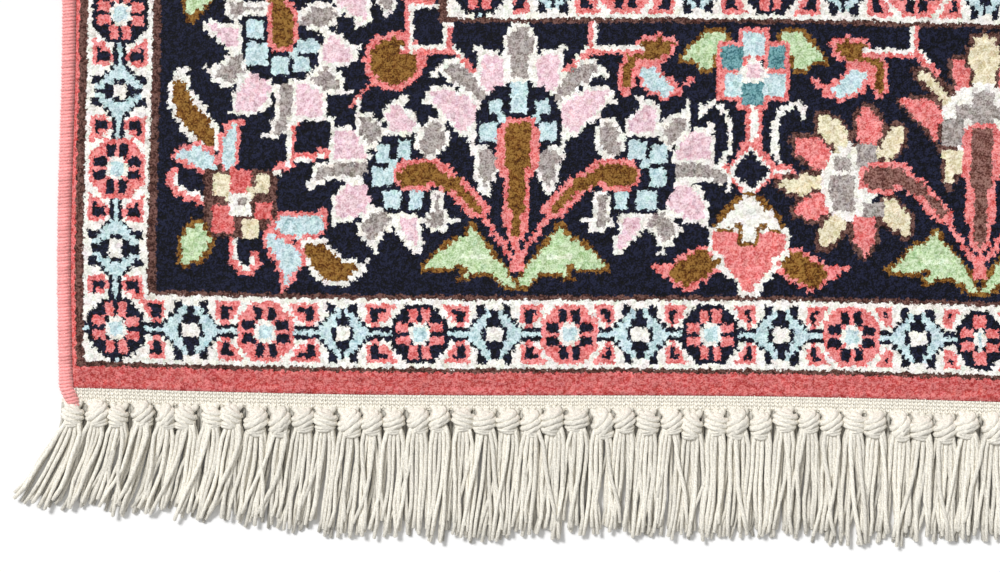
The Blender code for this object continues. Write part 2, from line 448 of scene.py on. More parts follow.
def draw_flower_group(layer, across, up, yarns, nearer=0.0):
    """Draw the group round across = 0. Its left flower may lie some millimetres nearer to the stem."""
    place = (np.abs(across), up)
    edge, core = yarns["core_edge"], yarns["core"]
    draw_side_flower(layer, (np.abs(across) + np.where(across < 0, nearer, 0.0), up), yarns)
    paint_lines(layer, place, (
        (edge, 4.9, ((35.8, 40), (27.5, 40.5))),
        (edge, 3.4, ((27.5, 41), (20, 36.5), (12.2, 28.5))),
        (edge, 1.0, ((12.2, 28.5), (2, 14))),
        (core, 3.4, ((35.8, 40), (28.5, 40.5))),
        (core, 2.3, ((28.5, 40.5), (20, 36.5))),
        (core, 1.5, ((20, 36.5), (12.6, 29.2))),
    ))
    draw_crown(layer, place, yarns)
    paint(layer, polygon(place, CORE_EDGE) < 0, edge)
    paint(layer, polygon(place, CORE) < 0, core)
    paint_edged(layer, polygon(place, LEAF), "olive", "green", 1.3)
    paint(layer, block(place, (0, 10.6), 4.2, 7.0) < 0, "coral")
    paint_lines(layer, place, STEM_LINES)


print("Two flower groups with", len(ROSE_GROUP["crown_shapes"]), "and", len(SUN_GROUP["crown_shapes"]),
      "outlined petals in half a crown")

# %% [markdown]
# ## The small group between them
# A heart-shaped flower stands at the foot, with a lozenge, a stem and a cross-shaped flower above
# it. Two pairs of leaves stand beside the cross.

# %% Small group
UPPER_LEAF = [(8.4, 85.8), (10.9, 87.4), (15.7, 87.4), (18.2, 84.9), (23, 79), (23, 77.6), (19.3, 78.2),
              (17.6, 75.8), (13.9, 75.8), (12.7, 80), (10.9, 83.6)]
LOWER_LEAF = [(9.6, 12.4), (13.5, 14.6), (16.8, 15), (21.9, 12.4), (25.2, 9.6), (26.4, 7.6), (23.5, 4.2),
              (19.3, 3.6), (14.3, 6.7), (10.9, 9.3)]
LEAF_FOOT = [(24.5, 11.6), (32.6, 10), (27.5, 6)]
CROSS = (
    ((0, 66.9), 6.8, 8.2, "teal"),
    ((7.6, 79.0), 6.6, 6.8, "teal"),
    ((6.9, 70.2), 6.0, 6.4, "light blue"),
    ((0, 83.4), 6.6, 7.4, "light blue"),
)
CROSS_MIDDLE = [(0, 79.4), (4.4, 74.6), (4, 71.4), (-4, 71.4), (-4.4, 74.6)]
TWIGS = (
    ("coral", 1.0, ((1.8, 52), (3.6, 47.5))),
    ("ivory", 0.95, ((9.6, 44.6), (7.6, 47.5), (7.4, 57), (9.3, 61), (12.9, 64), (16, 62.9), (17, 59.5))),
    ("coral", 1.8, ((5, 42), (12.4, 41.6))),
    ("ivory", 0.8, ((7, 41.4), (12.4, 41))),
)
LOZENGE = [(0, 35.6), (5.7, 41.2), (5.7, 42.2), (0, 48), (-5.7, 42.2), (-5.7, 41.2)]
HEART = [(0, 2.4), (2.6, 2.6), (2.8, 5.4), (5.5, 7.4), (8.6, 10.4), (6.6, 12.4), (10.8, 14), (12.2, 17.5),
         (11.8, 21), (9, 23), (5, 21.5), (0, 19), (-4.5, 21.5), (-4.5, 2.4)]
HEART_CROWN = [(0, 33.8), (3.6, 31.4), (7.6, 27.4), (10.6, 23.4), (6.4, 23.2), (2.8, 25), (2.6, 18.8),
               (-2.6, 18.8), (-2.8, 25), (-3.6, 31.4)]


def draw_small_group(layer, place):
    paint_edged(layer, polygon(place, UPPER_LEAF), "olive", "green", 1.3)
    for middle, width, height, yarn in CROSS:
        paint(layer, block(place, middle, width, height) < 1.5, "coral")
    for middle, width, height, yarn in CROSS:
        paint(layer, block(place, middle, width, height) < 0, yarn)
    paint(layer, polygon(place, CROSS_MIDDLE) < 0, "ivory")
    paint(layer, disc(place, (0, 75), 2.9, 2.4) < 0, "pink")
    stem = line(place, ((0, 61.2), (0, 52.6)))
    paint_edged(layer, stem - 1.4, "coral", "ivory")
    paint_lines(layer, place, TWIGS)
    lozenge = polygon(place, LOZENGE)
    paint_edged(layer, lozenge, "coral", "navy", 2.6)
    paint(layer, (lozenge > 0) & (lozenge < 1.2), "ivory")
    leaf = polygon(place, LOWER_LEAF)
    paint(layer, leaf < 1.4, "coral")
    paint(layer, polygon(place, LEAF_FOOT) < 0, "coral")
    paint(layer, leaf < 0, "olive")
    paint_edged(layer, polygon(place, HEART), "ivory", "coral", 1.6)
    paint_edged(layer, polygon(place, HEART_CROWN), "olive", "ivory")


PAIRED_LEAVES = (
    ("olive", [(26.7, 83.6), (30.4, 85.2), (35.9, 84.6), (38.6, 82), (41.5, 79.2), (43, 75.6), (43, 71.2),
               (42, 67.2), (40.6, 70.2), (40, 75.4), (38.3, 78), (35.2, 78.4), (31.6, 78), (28.5, 80.2)]),
    ("light blue", [(24.9, 67.8), (27.3, 70.2), (30.4, 72.6), (32.2, 75.6), (36.8, 75.8), (37, 72.6),
                    (35.2, 69), (32.2, 67.2), (27.9, 66.9)]),
)


def draw_leaf_pairs(layer, place):
    """Pairs of leaves high in the border, seen on both sides of a small group."""
    for yarn, points in PAIRED_LEAVES:
        paint_edged(layer, polygon(place, points), "coral", yarn, 1.5)
    paint(layer, line(place, ((20.4, 71.6), (24, 69))) < 0.9, "coral")


print("Small group with", len(CROSS), "blocks in half a cross and", len(TWIGS), "twigs")

# %% [markdown]
# ## The corner group
# The corner is filled by one star flower with leaves and two twigs. Each leaf is a polygon with an
# edge of another yarn, measured from the border's outer corner.

# %% Corner group
CORNER_LEAVES = (
    ("ivory", "olive", [(48.6, 17.2), (54.6, 17.3), (57.4, 14.8), (60, 11.6), (68, 9.4), (63, 5.4),
                        (56.2, 4.3), (52.2, 8.2), (49.4, 12.7)]),
    ("ivory", "olive", [(7.4, 72), (5.3, 70.6), (4.6, 66.7), (5, 60), (7.8, 55.6), (10.5, 52.2),
                        (13.8, 49.6), (18.6, 48.2), (19, 52.4), (16.4, 56.4), (13.8, 60), (10.5, 64),
                        (8.2, 67.6)]),
    ("coral", "light blue", [(38.2, 23), (41.2, 25.6), (45.7, 26.3), (50.3, 25.4), (54.4, 26),
                             (55.5, 23.4), (52.8, 19.6), (47, 19), (41.8, 20.4)]),
    ("coral", "light blue", [(36.3, 20.4), (39.9, 19), (43.8, 16.6), (47.2, 14.6), (48, 11),
                             (45.1, 7.2), (43, 3.6), (41.6, 8), (39.2, 12.6), (36.8, 16.6)]),
    ("coral", "light blue", [(5.9, 44.8), (9.2, 47.2), (13.8, 47.8), (16.8, 46.8), (18.4, 43.8),
                             (19.4, 40.6), (15.4, 40.4), (11.4, 42.2), (7.9, 43.6)]),
    ("coral", "light blue", [(21.2, 42.4), (21.2, 50.4), (23, 54.4), (24.8, 56), (25, 51),
                             (24.8, 43.2), (23.2, 41.2)]),
)
CORNER_TWIGS = (
    ("ivory", 0.8, ((68, 9.5), (70.2, 11.8))),
    ("ivory", 0.9, ((8, 72), (8.6, 73.6))),
    ("coral", 0.9, ((54.5, 26), (55.4, 28.6))),
    ("coral", 0.9, ((42, 3.4), (41.4, 1))),
    ("coral", 0.8, ((26, 43), (26.2, 56.4), (27.6, 56.8))),
    ("coral", 1.6, ((15.8, 30.6), (10.6, 31.6), (6, 34.6), (4, 36.6), (4.4, 38.4), (5.8, 38.6))),
    ("ivory", 0.7, ((15.8, 31.4), (10.8, 32.4), (6.4, 35.6), (5.8, 38.4))),
    ("coral", 1.6, ((25.4, 19), (25.2, 10.8), (27.8, 8), (31.4, 7.6), (33, 10), (32, 12))),
    ("ivory", 0.7, ((26.2, 19), (26.2, 11), (28.4, 9), (31, 9), (31.6, 11.4))),
    ("coral", 1.5, ((36, 39), (43.2, 43.2), (46, 45.4), (55, 46.3))),
    ("ivory", 0.8, ((37, 38.6), (40, 40.4))),
    ("ivory", 0.7, ((46, 44.6), (54, 45.6))),
    ("coral", 0.8, ((44.8, 45), (44.6, 52), (45.6, 60))),
    ("ivory", 0.8, ((43.4, 43.6), (43.2, 52), (44, 58))),
)
BUD = [(13.2, 23), (15.5, 23), (16.1, 20.2), (17.8, 17.6), (17.4, 14.3), (13.8, 10.6), (9.2, 9.8),
       (8.4, 13.6), (8.6, 17.5), (10.8, 21)]
STAR_GROUND = [(15.8, 40), (20, 41.6), (37, 41), (39.6, 38), (40, 26), (36, 21.4), (30, 18.6), (18, 18.6),
               (15.8, 24)]
STAR_LOBES = (
    ((27.7, 37.2), 7.6, 7.0, "deep coral"),
    ((35.0, 27.8), 6.2, 6.4, "deep coral"),
    ((22.2, 23.8), 6.4, 8.8, "deep coral"),
    ((20.8, 35.4), 5.4, 8.0, "straw"),
    ((34.4, 36.4), 4.6, 7.0, "straw"),
    ((31.0, 22.0), 6.0, 6.0, "straw"),
)
STAR_ARMS = (
    ("straw", 1.4, ((22, 33), (27, 30.5))),
    ("straw", 1.4, ((33.5, 34.5), (29, 31.5))),
)


def draw_corner_group(layer, place):
    for edge, fill, points in CORNER_LEAVES:
        paint_edged(layer, polygon(place, points), edge, fill, 1.5)
    paint_lines(layer, place, CORNER_TWIGS)
    paint_edged(layer, polygon(place, BUD), "olive", "green", 1.5)
    paint_edged(layer, disc(place, (77, 77.5), 8.2, 7.6), "coral", "olive", 1.8)
    paint(layer, line(place, ((70, 70), (62, 62))) < 0.8, "coral")
    paint(layer, polygon(place, STAR_GROUND) < 0, "brown")
    for middle, width, height, yarn in STAR_LOBES:
        paint(layer, block(place, middle, width, height) < 0, yarn)
    paint_lines(layer, place, STAR_ARMS)
    paint_edged(layer, block(place, (27.8, 29.8), 3.2, 3.2), "ivory", "grey", 2.1)


print("Corner group with", len(CORNER_LEAVES), "leaves and", len(STAR_LOBES), "lobes of the star")

# %% [markdown]
# ## The narrow borders
# The two narrow borders repeat a rosette and a lozenge. Their chart is short enough to write out:
# each line is a row away from the border's middle, and each letter a knot further from a rosette.
# P and G stand for the two yarns that change places from one rosette to the next.

# %% Narrow borders
NARROW_CHART = (
    "bbwGGGGbbbbbbbbkww",
    "bbwPPPGkkkkkbbbkww",
    "wwGPPPGwwrrwkbbbkk",
    "GPPGGGGwrkkrwkbbkk",
    "GPPGGGwrrkkrwwkbbk",
    "GPPGGwwrkkkrwwkkbk",
    "GGGGwwrrrrrrwwkkww",
    "wwwwwwwwwwwwwwwwww",
)
NARROW_YARNS = {"b": "light blue", "w": "ivory", "k": "navy", "r": "coral"}
NARROW_TYPES = ({"P": "coral", "G": "navy"}, {"P": "navy", "G": "coral"})
HALF_REPEAT = 17


def narrow_table(types):
    """The chart as yarn numbers, one row for each step away from the middle."""
    names = {**NARROW_YARNS, **types}
    rows = [[YARN_NAMES.index(names[letter]) for letter in text] for text in NARROW_CHART]
    return np.array(rows)


def narrow_border(steps_along, steps_aside, rosettes):
    """Yarn of each knot of a narrow border. The rosettes' places along it come in order."""
    rosettes = np.array(rosettes)
    gaps = np.abs(steps_along[..., None] - rosettes)
    nearest = gaps.argmin(axis=-1)
    away = gaps.min(axis=-1)
    following = np.sort(gaps, axis=-1)[..., 1]
    to_lozenge = (following - away) // 2
    reach = np.where(away <= 8, away, HALF_REPEAT - to_lozenge)
    reach = np.clip(reach, 0, HALF_REPEAT)
    aside = np.clip(np.abs(steps_aside), 0, 7)
    tables = [narrow_table(types) for types in NARROW_TYPES]
    return np.where(nearest % 2 == 0, tables[0][aside, reach], tables[1][aside, reach])


# %% [markdown]
# ## The whole chart
# The rug is the same on both sides of both its middles, so one quarter is drawn and then mirrored.
# Frames of knots lie one inside the other: a knot belongs to the outer one of the frame of its
# column and the frame of its row.

# %% The whole chart
HALF_COLUMNS = KNOTS_ACROSS // 2 + 1
HALF_ROWS = KNOTS_ALONG // 2 + 1

# Where each frame starts, from the outside: line, narrow, line, main, line, narrow, line, field.
# The first knots, outside all frames, are plain deep coral, which is partly painted shade where
# the pile slopes down at its edges.
COLUMN_FRAMES = (1, 3, 18, 20, 85, 87, 102, 104)
ROW_FRAMES = (5, 6, 21, 22, 82, 83, 98, 99)
OUTER_COLUMNS = (10, 45, 81, 116, 149, 182, 213)
OUTER_ROWS = (13, 48, 82, 115, 149, 183, 215, 247, 279, 311)
INNER_COLUMNS = (94, 128, 162, 196, 229)
INNER_ROWS = (90, 124, 158, 192, 226, 260, 294, 328)
COLUMN_MIDDLES = (10, 94)
ROW_MIDDLES = (13, 90)

# Middles of the motifs along the border, in millimetres
ROSE_ON_FRONT, SMALL_ON_FRONT, SUN_ON_FRONT = 118.5, 195.4, 271.4
ROSE_ON_SIDE, SMALL_ON_SIDE, SUN_ON_SIDE = (120, 435), (199, 357), 278
LEFT_ROSE_NEARER = 1.9
FRONT_SINK = 0.3


def frame_of(number, starts):
    """Number of the frame that a column or row is in."""
    return np.searchsorted(starts, number, side="right") - 1


def draw_field(column, row):
    """Coral ground with small four-petalled sprigs, every other row of them shifted by half."""
    step_x, step_y = 24, 22
    line_number = row // step_y
    across = (column + (line_number % 2) * step_x // 2) % step_x - step_x // 2
    up = row % step_y - step_y // 2
    reach = np.abs(across) + np.abs(up)
    field = np.full(column.shape, YARN_NAMES.index("coral"))
    paint(field, (reach <= 4) & (np.abs(across * up) <= 1), "ivory")
    paint(field, reach <= 1, "navy")
    return field


def draw_quarter():
    column, row = np.meshgrid(np.arange(HALF_COLUMNS), np.arange(HALF_ROWS))
    frame_number = np.minimum(frame_of(column, COLUMN_FRAMES), frame_of(row, ROW_FRAMES))
    along_front = (column + 0.5 - COLUMN_FRAMES[3]) * KNOT_ACROSS * 1000
    along_side = (row + 0.5 - ROW_FRAMES[3]) * KNOT_ALONG * 1000 + FRONT_SINK

    border = np.full(column.shape, YARN_NAMES.index("navy"))
    draw_corner_group(border, (along_front, along_side))
    draw_small_group(border, (np.abs(along_front - SMALL_ON_FRONT), along_side))
    draw_leaf_pairs(border, (np.abs(along_front - SMALL_ON_FRONT), along_side))
    draw_flower_group(border, along_front - ROSE_ON_FRONT, along_side, ROSE_GROUP, LEFT_ROSE_NEARER)
    draw_flower_group(border, along_front - SUN_ON_FRONT, along_side, SUN_GROUP)
    for middle in SMALL_ON_SIDE:
        draw_small_group(border, (np.abs(along_side - middle), along_front))
        draw_leaf_pairs(border, (np.abs(along_side - middle), along_front))
    for middle in ROSE_ON_SIDE:
        draw_flower_group(border, along_side - middle, along_front, ROSE_GROUP, LEFT_ROSE_NEARER)
    draw_flower_group(border, along_side - SUN_ON_SIDE, along_front, SUN_GROUP)

    quarter = draw_field(column, row)
    narrow = ((1, OUTER_COLUMNS, OUTER_ROWS), (5, INNER_COLUMNS, INNER_ROWS))
    for (number, columns, rows), across, up in zip(narrow, COLUMN_MIDDLES, ROW_MIDDLES):
        from_front = narrow_border(column, row - up, columns)
        from_side = narrow_border(row, column - across, rows)
        band = np.where(np.abs(column - across) >= np.abs(row - up), from_front, from_side)
        on_front = np.abs(row - up) <= 7
        on_side = np.abs(column - across) <= 7
        band = np.where(on_front & ~on_side, from_front, band)
        band = np.where(on_side & ~on_front, from_side, band)
        outside = on_front & on_side & ((column < across) | (row < up))
        far = np.abs(column - across) + np.abs(row - up) >= 10
        paint(band, outside & far, "ivory")
        quarter = np.where(frame_number == number, band, quarter)
    quarter = np.where(frame_number == 3, border, quarter)
    for number in (0, 2, 4, 6):
        paint(quarter, frame_number == number, "brown")
    # Edge knots in deep coral: partly painted shade where the pile slopes down
    paint(quarter, frame_number < 0, "deep coral")
    return quarter


quarter = draw_quarter()
all_columns = HALF_COLUMNS - 1 - np.abs(np.arange(KNOTS_ACROSS) - HALF_COLUMNS + 1)
all_rows = HALF_ROWS - 1 - np.abs(np.arange(KNOTS_ALONG) - HALF_ROWS + 1)
chart = quarter[np.ix_(all_rows, all_columns)]
print("Chart of", chart.shape[1], "by", chart.shape[0], "knots")

# %% [markdown]
# ## Adding nodes
# Shader and geometry nodes are both made with one small function. It adds a node, sets its
# properties, and gives each input a value or links it to another node's output.

# %% Adding nodes
def set_inputs(tree, node, inputs):
    """Give inputs a value, or link them to an output. A node stands for its first output."""
    for key, value in inputs.items():
        if isinstance(value, bpy.types.Node):
            value = value.outputs[0]
        if isinstance(value, bpy.types.NodeSocket):
            tree.links.new(value, node.inputs[key])
        else:
            node.inputs[key].default_value = value


def add_node(tree, kind, inputs=None, **settings):
    node = tree.nodes.new(kind)
    for name, value in settings.items():
        setattr(node, name, value)
    set_inputs(tree, node, inputs or {})
    return node


def new_material(name):
    material = bpy.data.materials.new(name)
    material.use_nodes = True
    return material, material.node_tree, material.node_tree.nodes["Principled BSDF"]


# %% [markdown]
# ## Silk pile
# Each face is one knot, and it knows its own yarn and its four neighbours' yarns. Cut silk is
# fuzzy, so no knot ends in a clean line. The material shifts the place inside the knot with fine
# noise, and where that leads out of the knot it takes the neighbour's colour. A real silk fibre is
# finer than a pixel, so fibres are drawn half a millimetre wide. Noise of 1.3 mm stands for tufts,
# and a broad one of 45 mm makes the pile lighter and darker in patches: partly painted sheen, where
# the brushed nap catches the light, and partly uneven dye. Silk also has a soft sheen.

# %% Silk pile material
NEIGHBOURS = {"left": (0, -1), "right": (0, 1), "front": (-1, 0), "back": (1, 0)}

# Scales of noise, in waves to the metre, and how far each one pushes a knot's edge, in knots
FIBRE_SCALE = 1900
TUFT_SCALE = 760
# Broad patches of 45 mm: partly painted sheen of the brushed nap, partly uneven dye
NAP_SHEEN_AND_DYE_SCALE = 22
FUZZ = ((800, 1.5), (2400, 0.9))
SOFT_EDGE = 0.06


def make_pile_material():
    # Cut silk pile: the ends of the fibres hold the light, so the colours look deep, soft and grainy
    material, tree, shader = new_material("cut silk pile")
    colours = {name: add_node(tree, "ShaderNodeAttribute", attribute_name=name)
               for name in ("yarn", *NEIGHBOURS)}
    knots = add_node(tree, "ShaderNodeUVMap", uv_map="knots")
    place = add_node(tree, "ShaderNodeTexCoord").outputs["Object"]

    # Push the place inside the knot about
    moved = add_node(tree, "ShaderNodeVectorMath", {0: knots}, operation="FRACTION")
    for scale, reach in FUZZ:
        noise = add_node(tree, "ShaderNodeTexNoise", {"Vector": place, "Scale": scale, "Detail": 1})
        centred = add_node(tree, "ShaderNodeVectorMath", {0: noise.outputs["Color"], 1: (0.5, 0.5, 0.5)},
                           operation="SUBTRACT")
        push = add_node(tree, "ShaderNodeVectorMath", {0: centred, "Scale": reach}, operation="SCALE")
        moved = add_node(tree, "ShaderNodeVectorMath", {0: moved, 1: push}, operation="ADD")
    split = add_node(tree, "ShaderNodeSeparateXYZ", {0: moved})
    colour = colours["yarn"]
    edges = (("left", 0, SOFT_EDGE, -SOFT_EDGE), ("right", 0, 1 - SOFT_EDGE, 1 + SOFT_EDGE),
             ("front", 1, SOFT_EDGE, -SOFT_EDGE), ("back", 1, 1 - SOFT_EDGE, 1 + SOFT_EDGE))
    for name, axis, start, end in edges:
        share = add_node(tree, "ShaderNodeMapRange",
                         {"Value": split.outputs[axis], "From Min": start, "From Max": end})
        colour = add_node(tree, "ShaderNodeMix", {"Factor": share, "A": colour, "B": colours[name]},
                          data_type="RGBA").outputs["Result"]

    fibre = add_node(tree, "ShaderNodeTexNoise", {"Vector": place, "Scale": FIBRE_SCALE, "Detail": 2})
    tuft = add_node(tree, "ShaderNodeTexNoise", {"Vector": place, "Scale": TUFT_SCALE, "Detail": 1})
    broad = add_node(tree, "ShaderNodeTexNoise", {"Vector": place, "Scale": NAP_SHEEN_AND_DYE_SCALE, "Detail": 2})
    tuft_share = add_node(tree, "ShaderNodeMath", {0: tuft, 1: 0.8}, operation="MULTIPLY")
    both = add_node(tree, "ShaderNodeMath", {0: fibre, 1: 1.2, 2: tuft_share}, operation="MULTIPLY_ADD")

    # Light that has bounced between coloured fibres deepens their colour: a power of the yarn colour
    hollow = add_node(tree, "ShaderNodeMath", {0: both, 1: -2.1, 2: 3.1}, operation="MULTIPLY_ADD")
    depth = add_node(tree, "ShaderNodeMath", {0: hollow, 1: 0.79}, operation="MAXIMUM")
    deep = add_node(tree, "ShaderNodeGamma", {"Color": colour, "Gamma": depth})
    grain = add_node(tree, "ShaderNodeMath", {0: both, 1: 0.6, 2: 0.38}, operation="MULTIPLY_ADD")
    # Painted sheen of the brushed nap, mixed with uneven dye, lightens and darkens broad patches
    nap_sheen_and_dye = add_node(tree, "ShaderNodeMath", {0: broad, 1: 0.2, 2: 0.90}, operation="MULTIPLY_ADD")
    shade = add_node(tree, "ShaderNodeMath", {0: grain, 1: nap_sheen_and_dye}, operation="MULTIPLY")
    shaded = add_node(tree, "ShaderNodeVectorMath", {0: deep, "Scale": shade}, operation="SCALE")
    height = add_node(tree, "ShaderNodeMath", {0: both, 1: 0.35}, operation="MULTIPLY")
    bump = add_node(tree, "ShaderNodeBump", {"Height": height, "Distance": 0.001, "Strength": 0.8})
    set_inputs(tree, shader, {
        "Base Color": shaded,
        "Normal": bump,
        "Roughness": 0.6,
        "Specular IOR Level": 0.15,
        "Sheen Weight": 0.04,
        "Sheen Roughness": 0.4,
    })
    return material


pile_material = make_pile_material()
print("Material", pile_material.name)

# %% [markdown]
# ## Knotting the pile
# Every knot is one face. The corners of the faces are shifted at random, because no two hand-tied
# knots are quite the same, and each knot's yarn is a little lighter or darker than the next. Five
# attributes hold the knot's colour and its neighbours' colours. The pile is made in three lengths,
# which meet without a gap, to keep each piece small enough.

# %% Knotting the pile
def knot_corners(dice):
    """Corner points of all knots on the top of the pile, row by row."""
    across = np.arange(KNOTS_ACROSS + 1) * KNOT_ACROSS - CLOTH_WIDTH / 2
    along = np.arange(KNOTS_ALONG + 1) * KNOT_ALONG - CLOTH_LENGTH / 2
    x, y = np.meshgrid(across, along)
    inner = (slice(1, -1), slice(1, -1))
    shape = x[inner].shape
    z = nap_top(x, y)
    x[inner] += dice.uniform(-0.27, 0.27, shape) * KNOT_ACROSS
    y[inner] += dice.uniform(-0.27, 0.27, shape) * KNOT_ALONG
    z[inner] += dice.uniform(-0.00016, 0.00010, shape)
    x, y = woven(x, y)
    return np.stack([x, y, z], axis=-1)


def knot_colours(dice):
    """Linear colour of every knot, with the small differences of hand-dyed silk."""
    table = np.array([linear(YARNS[name]) for name in YARN_NAMES])
    colours = table[chart]
    light = np.exp(dice.normal(0, 0.07, chart.shape))
    tint = np.exp(dice.normal(0, 0.02, chart.shape + (3,)))
    return np.clip(colours * light[..., None] * tint, 0, 1)


def shifted(colours, rows, columns):
    """The colours of the knots that lie some rows and columns further on."""
    row = np.clip(np.arange(KNOTS_ALONG) + rows, 0, KNOTS_ALONG - 1)
    column = np.clip(np.arange(KNOTS_ACROSS) + columns, 0, KNOTS_ACROSS - 1)
    return colours[np.ix_(row, column)]


def fill_mesh(mesh, corners, faces):
    mesh.from_pydata(corners.tolist(), [], faces)
    mesh.validate()


def add_object(name, data):
    piece = bpy.data.objects.new(name, data)
    bpy.context.scene.collection.objects.link(piece)
    return piece


def make_pile_length(name, corners, colours, first, last):
    """One length of the pile, from one row of knots up to another, closed underneath."""
    width = KNOTS_ACROSS + 1
    top = corners[first:last + 1].reshape(-1, 3)
    number = np.arange(len(top)).reshape(-1, width)
    rim = np.concatenate([number[0, :-1], number[:-1, -1], number[-1, :0:-1], number[:0:-1, 0]])
    foot = top[rim] * (1, 1, 0)
    foot_number = np.arange(len(rim)) + len(top)
    knots = np.stack([number[:-1, :-1], number[:-1, 1:], number[1:, 1:], number[1:, :-1]], axis=-1)
    knots = knots.reshape(-1, 4)
    walls = np.stack([rim, foot_number, np.roll(foot_number, -1), np.roll(rim, -1)], axis=-1)
    mesh = bpy.data.meshes.new(name)
    faces = knots.tolist() + walls.tolist() + [foot_number[::-1].tolist()]
    fill_mesh(mesh, np.concatenate([top, foot]), faces)

    plain = np.array([*linear(YARNS["brown"]), 1.0])
    for label, (rows, columns) in {"yarn": (0, 0), **NEIGHBOURS}.items():
        values = np.tile(plain, (len(faces), 1))
        values[:len(knots), :3] = shifted(colours, rows, columns)[first:last].reshape(-1, 3)
        attribute = mesh.attributes.new(label, "FLOAT_COLOR", "FACE")
        attribute.data.foreach_set("color", values.ravel())

    places = np.full((len(mesh.loops), 2), 0.5)
    row, column = np.divmod(np.arange(len(knots)), KNOTS_ACROSS)
    steps = ((0, 0), (1, 0), (1, 1), (0, 1))
    cells = np.stack([np.stack([column + dx, row + first + dy], axis=-1) for dx, dy in steps], axis=1)
    places[:len(knots) * 4] = cells.reshape(-1, 2)
    knot_map = mesh.uv_layers.new(name="knots")
    knot_map.data.foreach_set("uv", places.ravel())

    smooth = np.arange(len(faces)) < len(knots)
    mesh.polygons.foreach_set("use_smooth", smooth)
    mesh.materials.append(pile_material)
    return add_object(name, mesh)


dice = np.random.default_rng(5)
corners = knot_corners(dice)
colours = knot_colours(dice)
LENGTHS = (0, 208, 416, KNOTS_ALONG)
pile = []
for first, last in zip(LENGTHS, LENGTHS[1:]):
    name = "pile_rows_{}_to_{}".format(first + 1, last)
    pile.append(make_pile_length(name, corners, colours, first, last))
print("Pile of", sum(len(piece.data.polygons) for piece in pile), "faces")

# %% [markdown]
# ## Laying yarn along a path
# This geometry node tree turns paths into yarn. A path is a row of edges. Its points carry the
# yarn's thickness. The tree sweeps a ring along each path and stores a UV map, turns round the yarn
# and millimetres along it, for the twist in the material. The ring is open while it is swept, so
# that the map has a clean seam, and its two ends are joined afterwards.

# %% Yarn tree
def new_tree(name, sockets):
    """A geometry node tree with its named inputs, and a geometry output."""
    tree = bpy.data.node_groups.new(name, "GeometryNodeTree")
    tree.interface.new_socket("Geometry", in_out="INPUT", socket_type="NodeSocketGeometry")
    for label, kind in sockets:
        tree.interface.new_socket(label, in_out="INPUT", socket_type=kind)
    tree.interface.new_socket("Geometry", in_out="OUTPUT", socket_type="NodeSocketGeometry")
    return tree, add_node(tree, "NodeGroupInput")


def finish_tree(tree, geometry, material):
    """Every tree ends alike: real meshes instead of instances, and a material on them."""
    real = add_node(tree, "GeometryNodeRealizeInstances", {"Geometry": geometry})
    dressed = add_node(tree, "GeometryNodeSetMaterial", {"Geometry": real, "Material": material})
    add_node(tree, "NodeGroupOutput", {"Geometry": dressed})


def make_yarn_tree():
    tree, given = new_tree("Yarn along paths", (
        ("Sides", "NodeSocketInt"),
        ("Material", "NodeSocketMaterial"),
    ))
    paths = add_node(tree, "GeometryNodeMeshToCurve", {"Mesh": given.outputs["Geometry"]})
    along = add_node(tree, "GeometryNodeSplineParameter")
    marked = add_node(
        tree, "GeometryNodeStoreNamedAttribute",
        {"Geometry": paths, "Name": "along", "Value": along.outputs["Length"]},
        data_type="FLOAT", domain="POINT")

    ring_points = add_node(tree, "FunctionNodeIntegerMath", {0: given.outputs["Sides"], 1: 1},
                           operation="ADD")
    ring = add_node(
        tree, "GeometryNodeCurveArc",
        {"Resolution": ring_points, "Radius": 1.0, "Sweep Angle": 2 * math.pi},
        mode="RADIUS")
    around = add_node(tree, "GeometryNodeSplineParameter")
    marked_ring = add_node(
        tree, "GeometryNodeStoreNamedAttribute",
        {"Geometry": ring, "Name": "around", "Value": around.outputs["Factor"]},
        data_type="FLOAT", domain="POINT")

    thickness = add_node(tree, "GeometryNodeInputNamedAttribute", {"Name": "thickness"}, data_type="FLOAT")
    swept = add_node(tree, "GeometryNodeCurveToMesh", {
        "Curve": marked,
        "Profile Curve": marked_ring,
        "Scale": thickness,
    })
    turns = add_node(tree, "GeometryNodeInputNamedAttribute", {"Name": "around"}, data_type="FLOAT")
    metres = add_node(tree, "GeometryNodeInputNamedAttribute", {"Name": "along"}, data_type="FLOAT")
    millimetres = add_node(tree, "ShaderNodeMath", {0: metres, 1: 1000.0}, operation="MULTIPLY")
    pair = add_node(tree, "ShaderNodeCombineXYZ", {0: turns, 1: millimetres})
    mapped = add_node(
        tree, "GeometryNodeStoreNamedAttribute",
        {"Geometry": swept, "Name": "yarn_map", "Value": pair},
        data_type="FLOAT2", domain="CORNER")
    closed = add_node(
        tree, "GeometryNodeMergeByDistance", {"Geometry": mapped, "Distance": 0.000002})
    smooth = add_node(tree, "GeometryNodeSetShadeSmooth", {"Geometry": closed})
    finish_tree(tree, smooth, given.outputs["Material"])
    return tree


yarn_tree = make_yarn_tree()
print("Tree", yarn_tree.name, "with", len(yarn_tree.nodes), "nodes")

# %% [markdown]
# ## Scattering copies
# The second tree puts a copy of one of several shapes on each point, such as a stitch or a tassel's
# knot. The points carry how each copy is turned and sized. The tree picks the shape and adds a small
# random tilt and change of size.

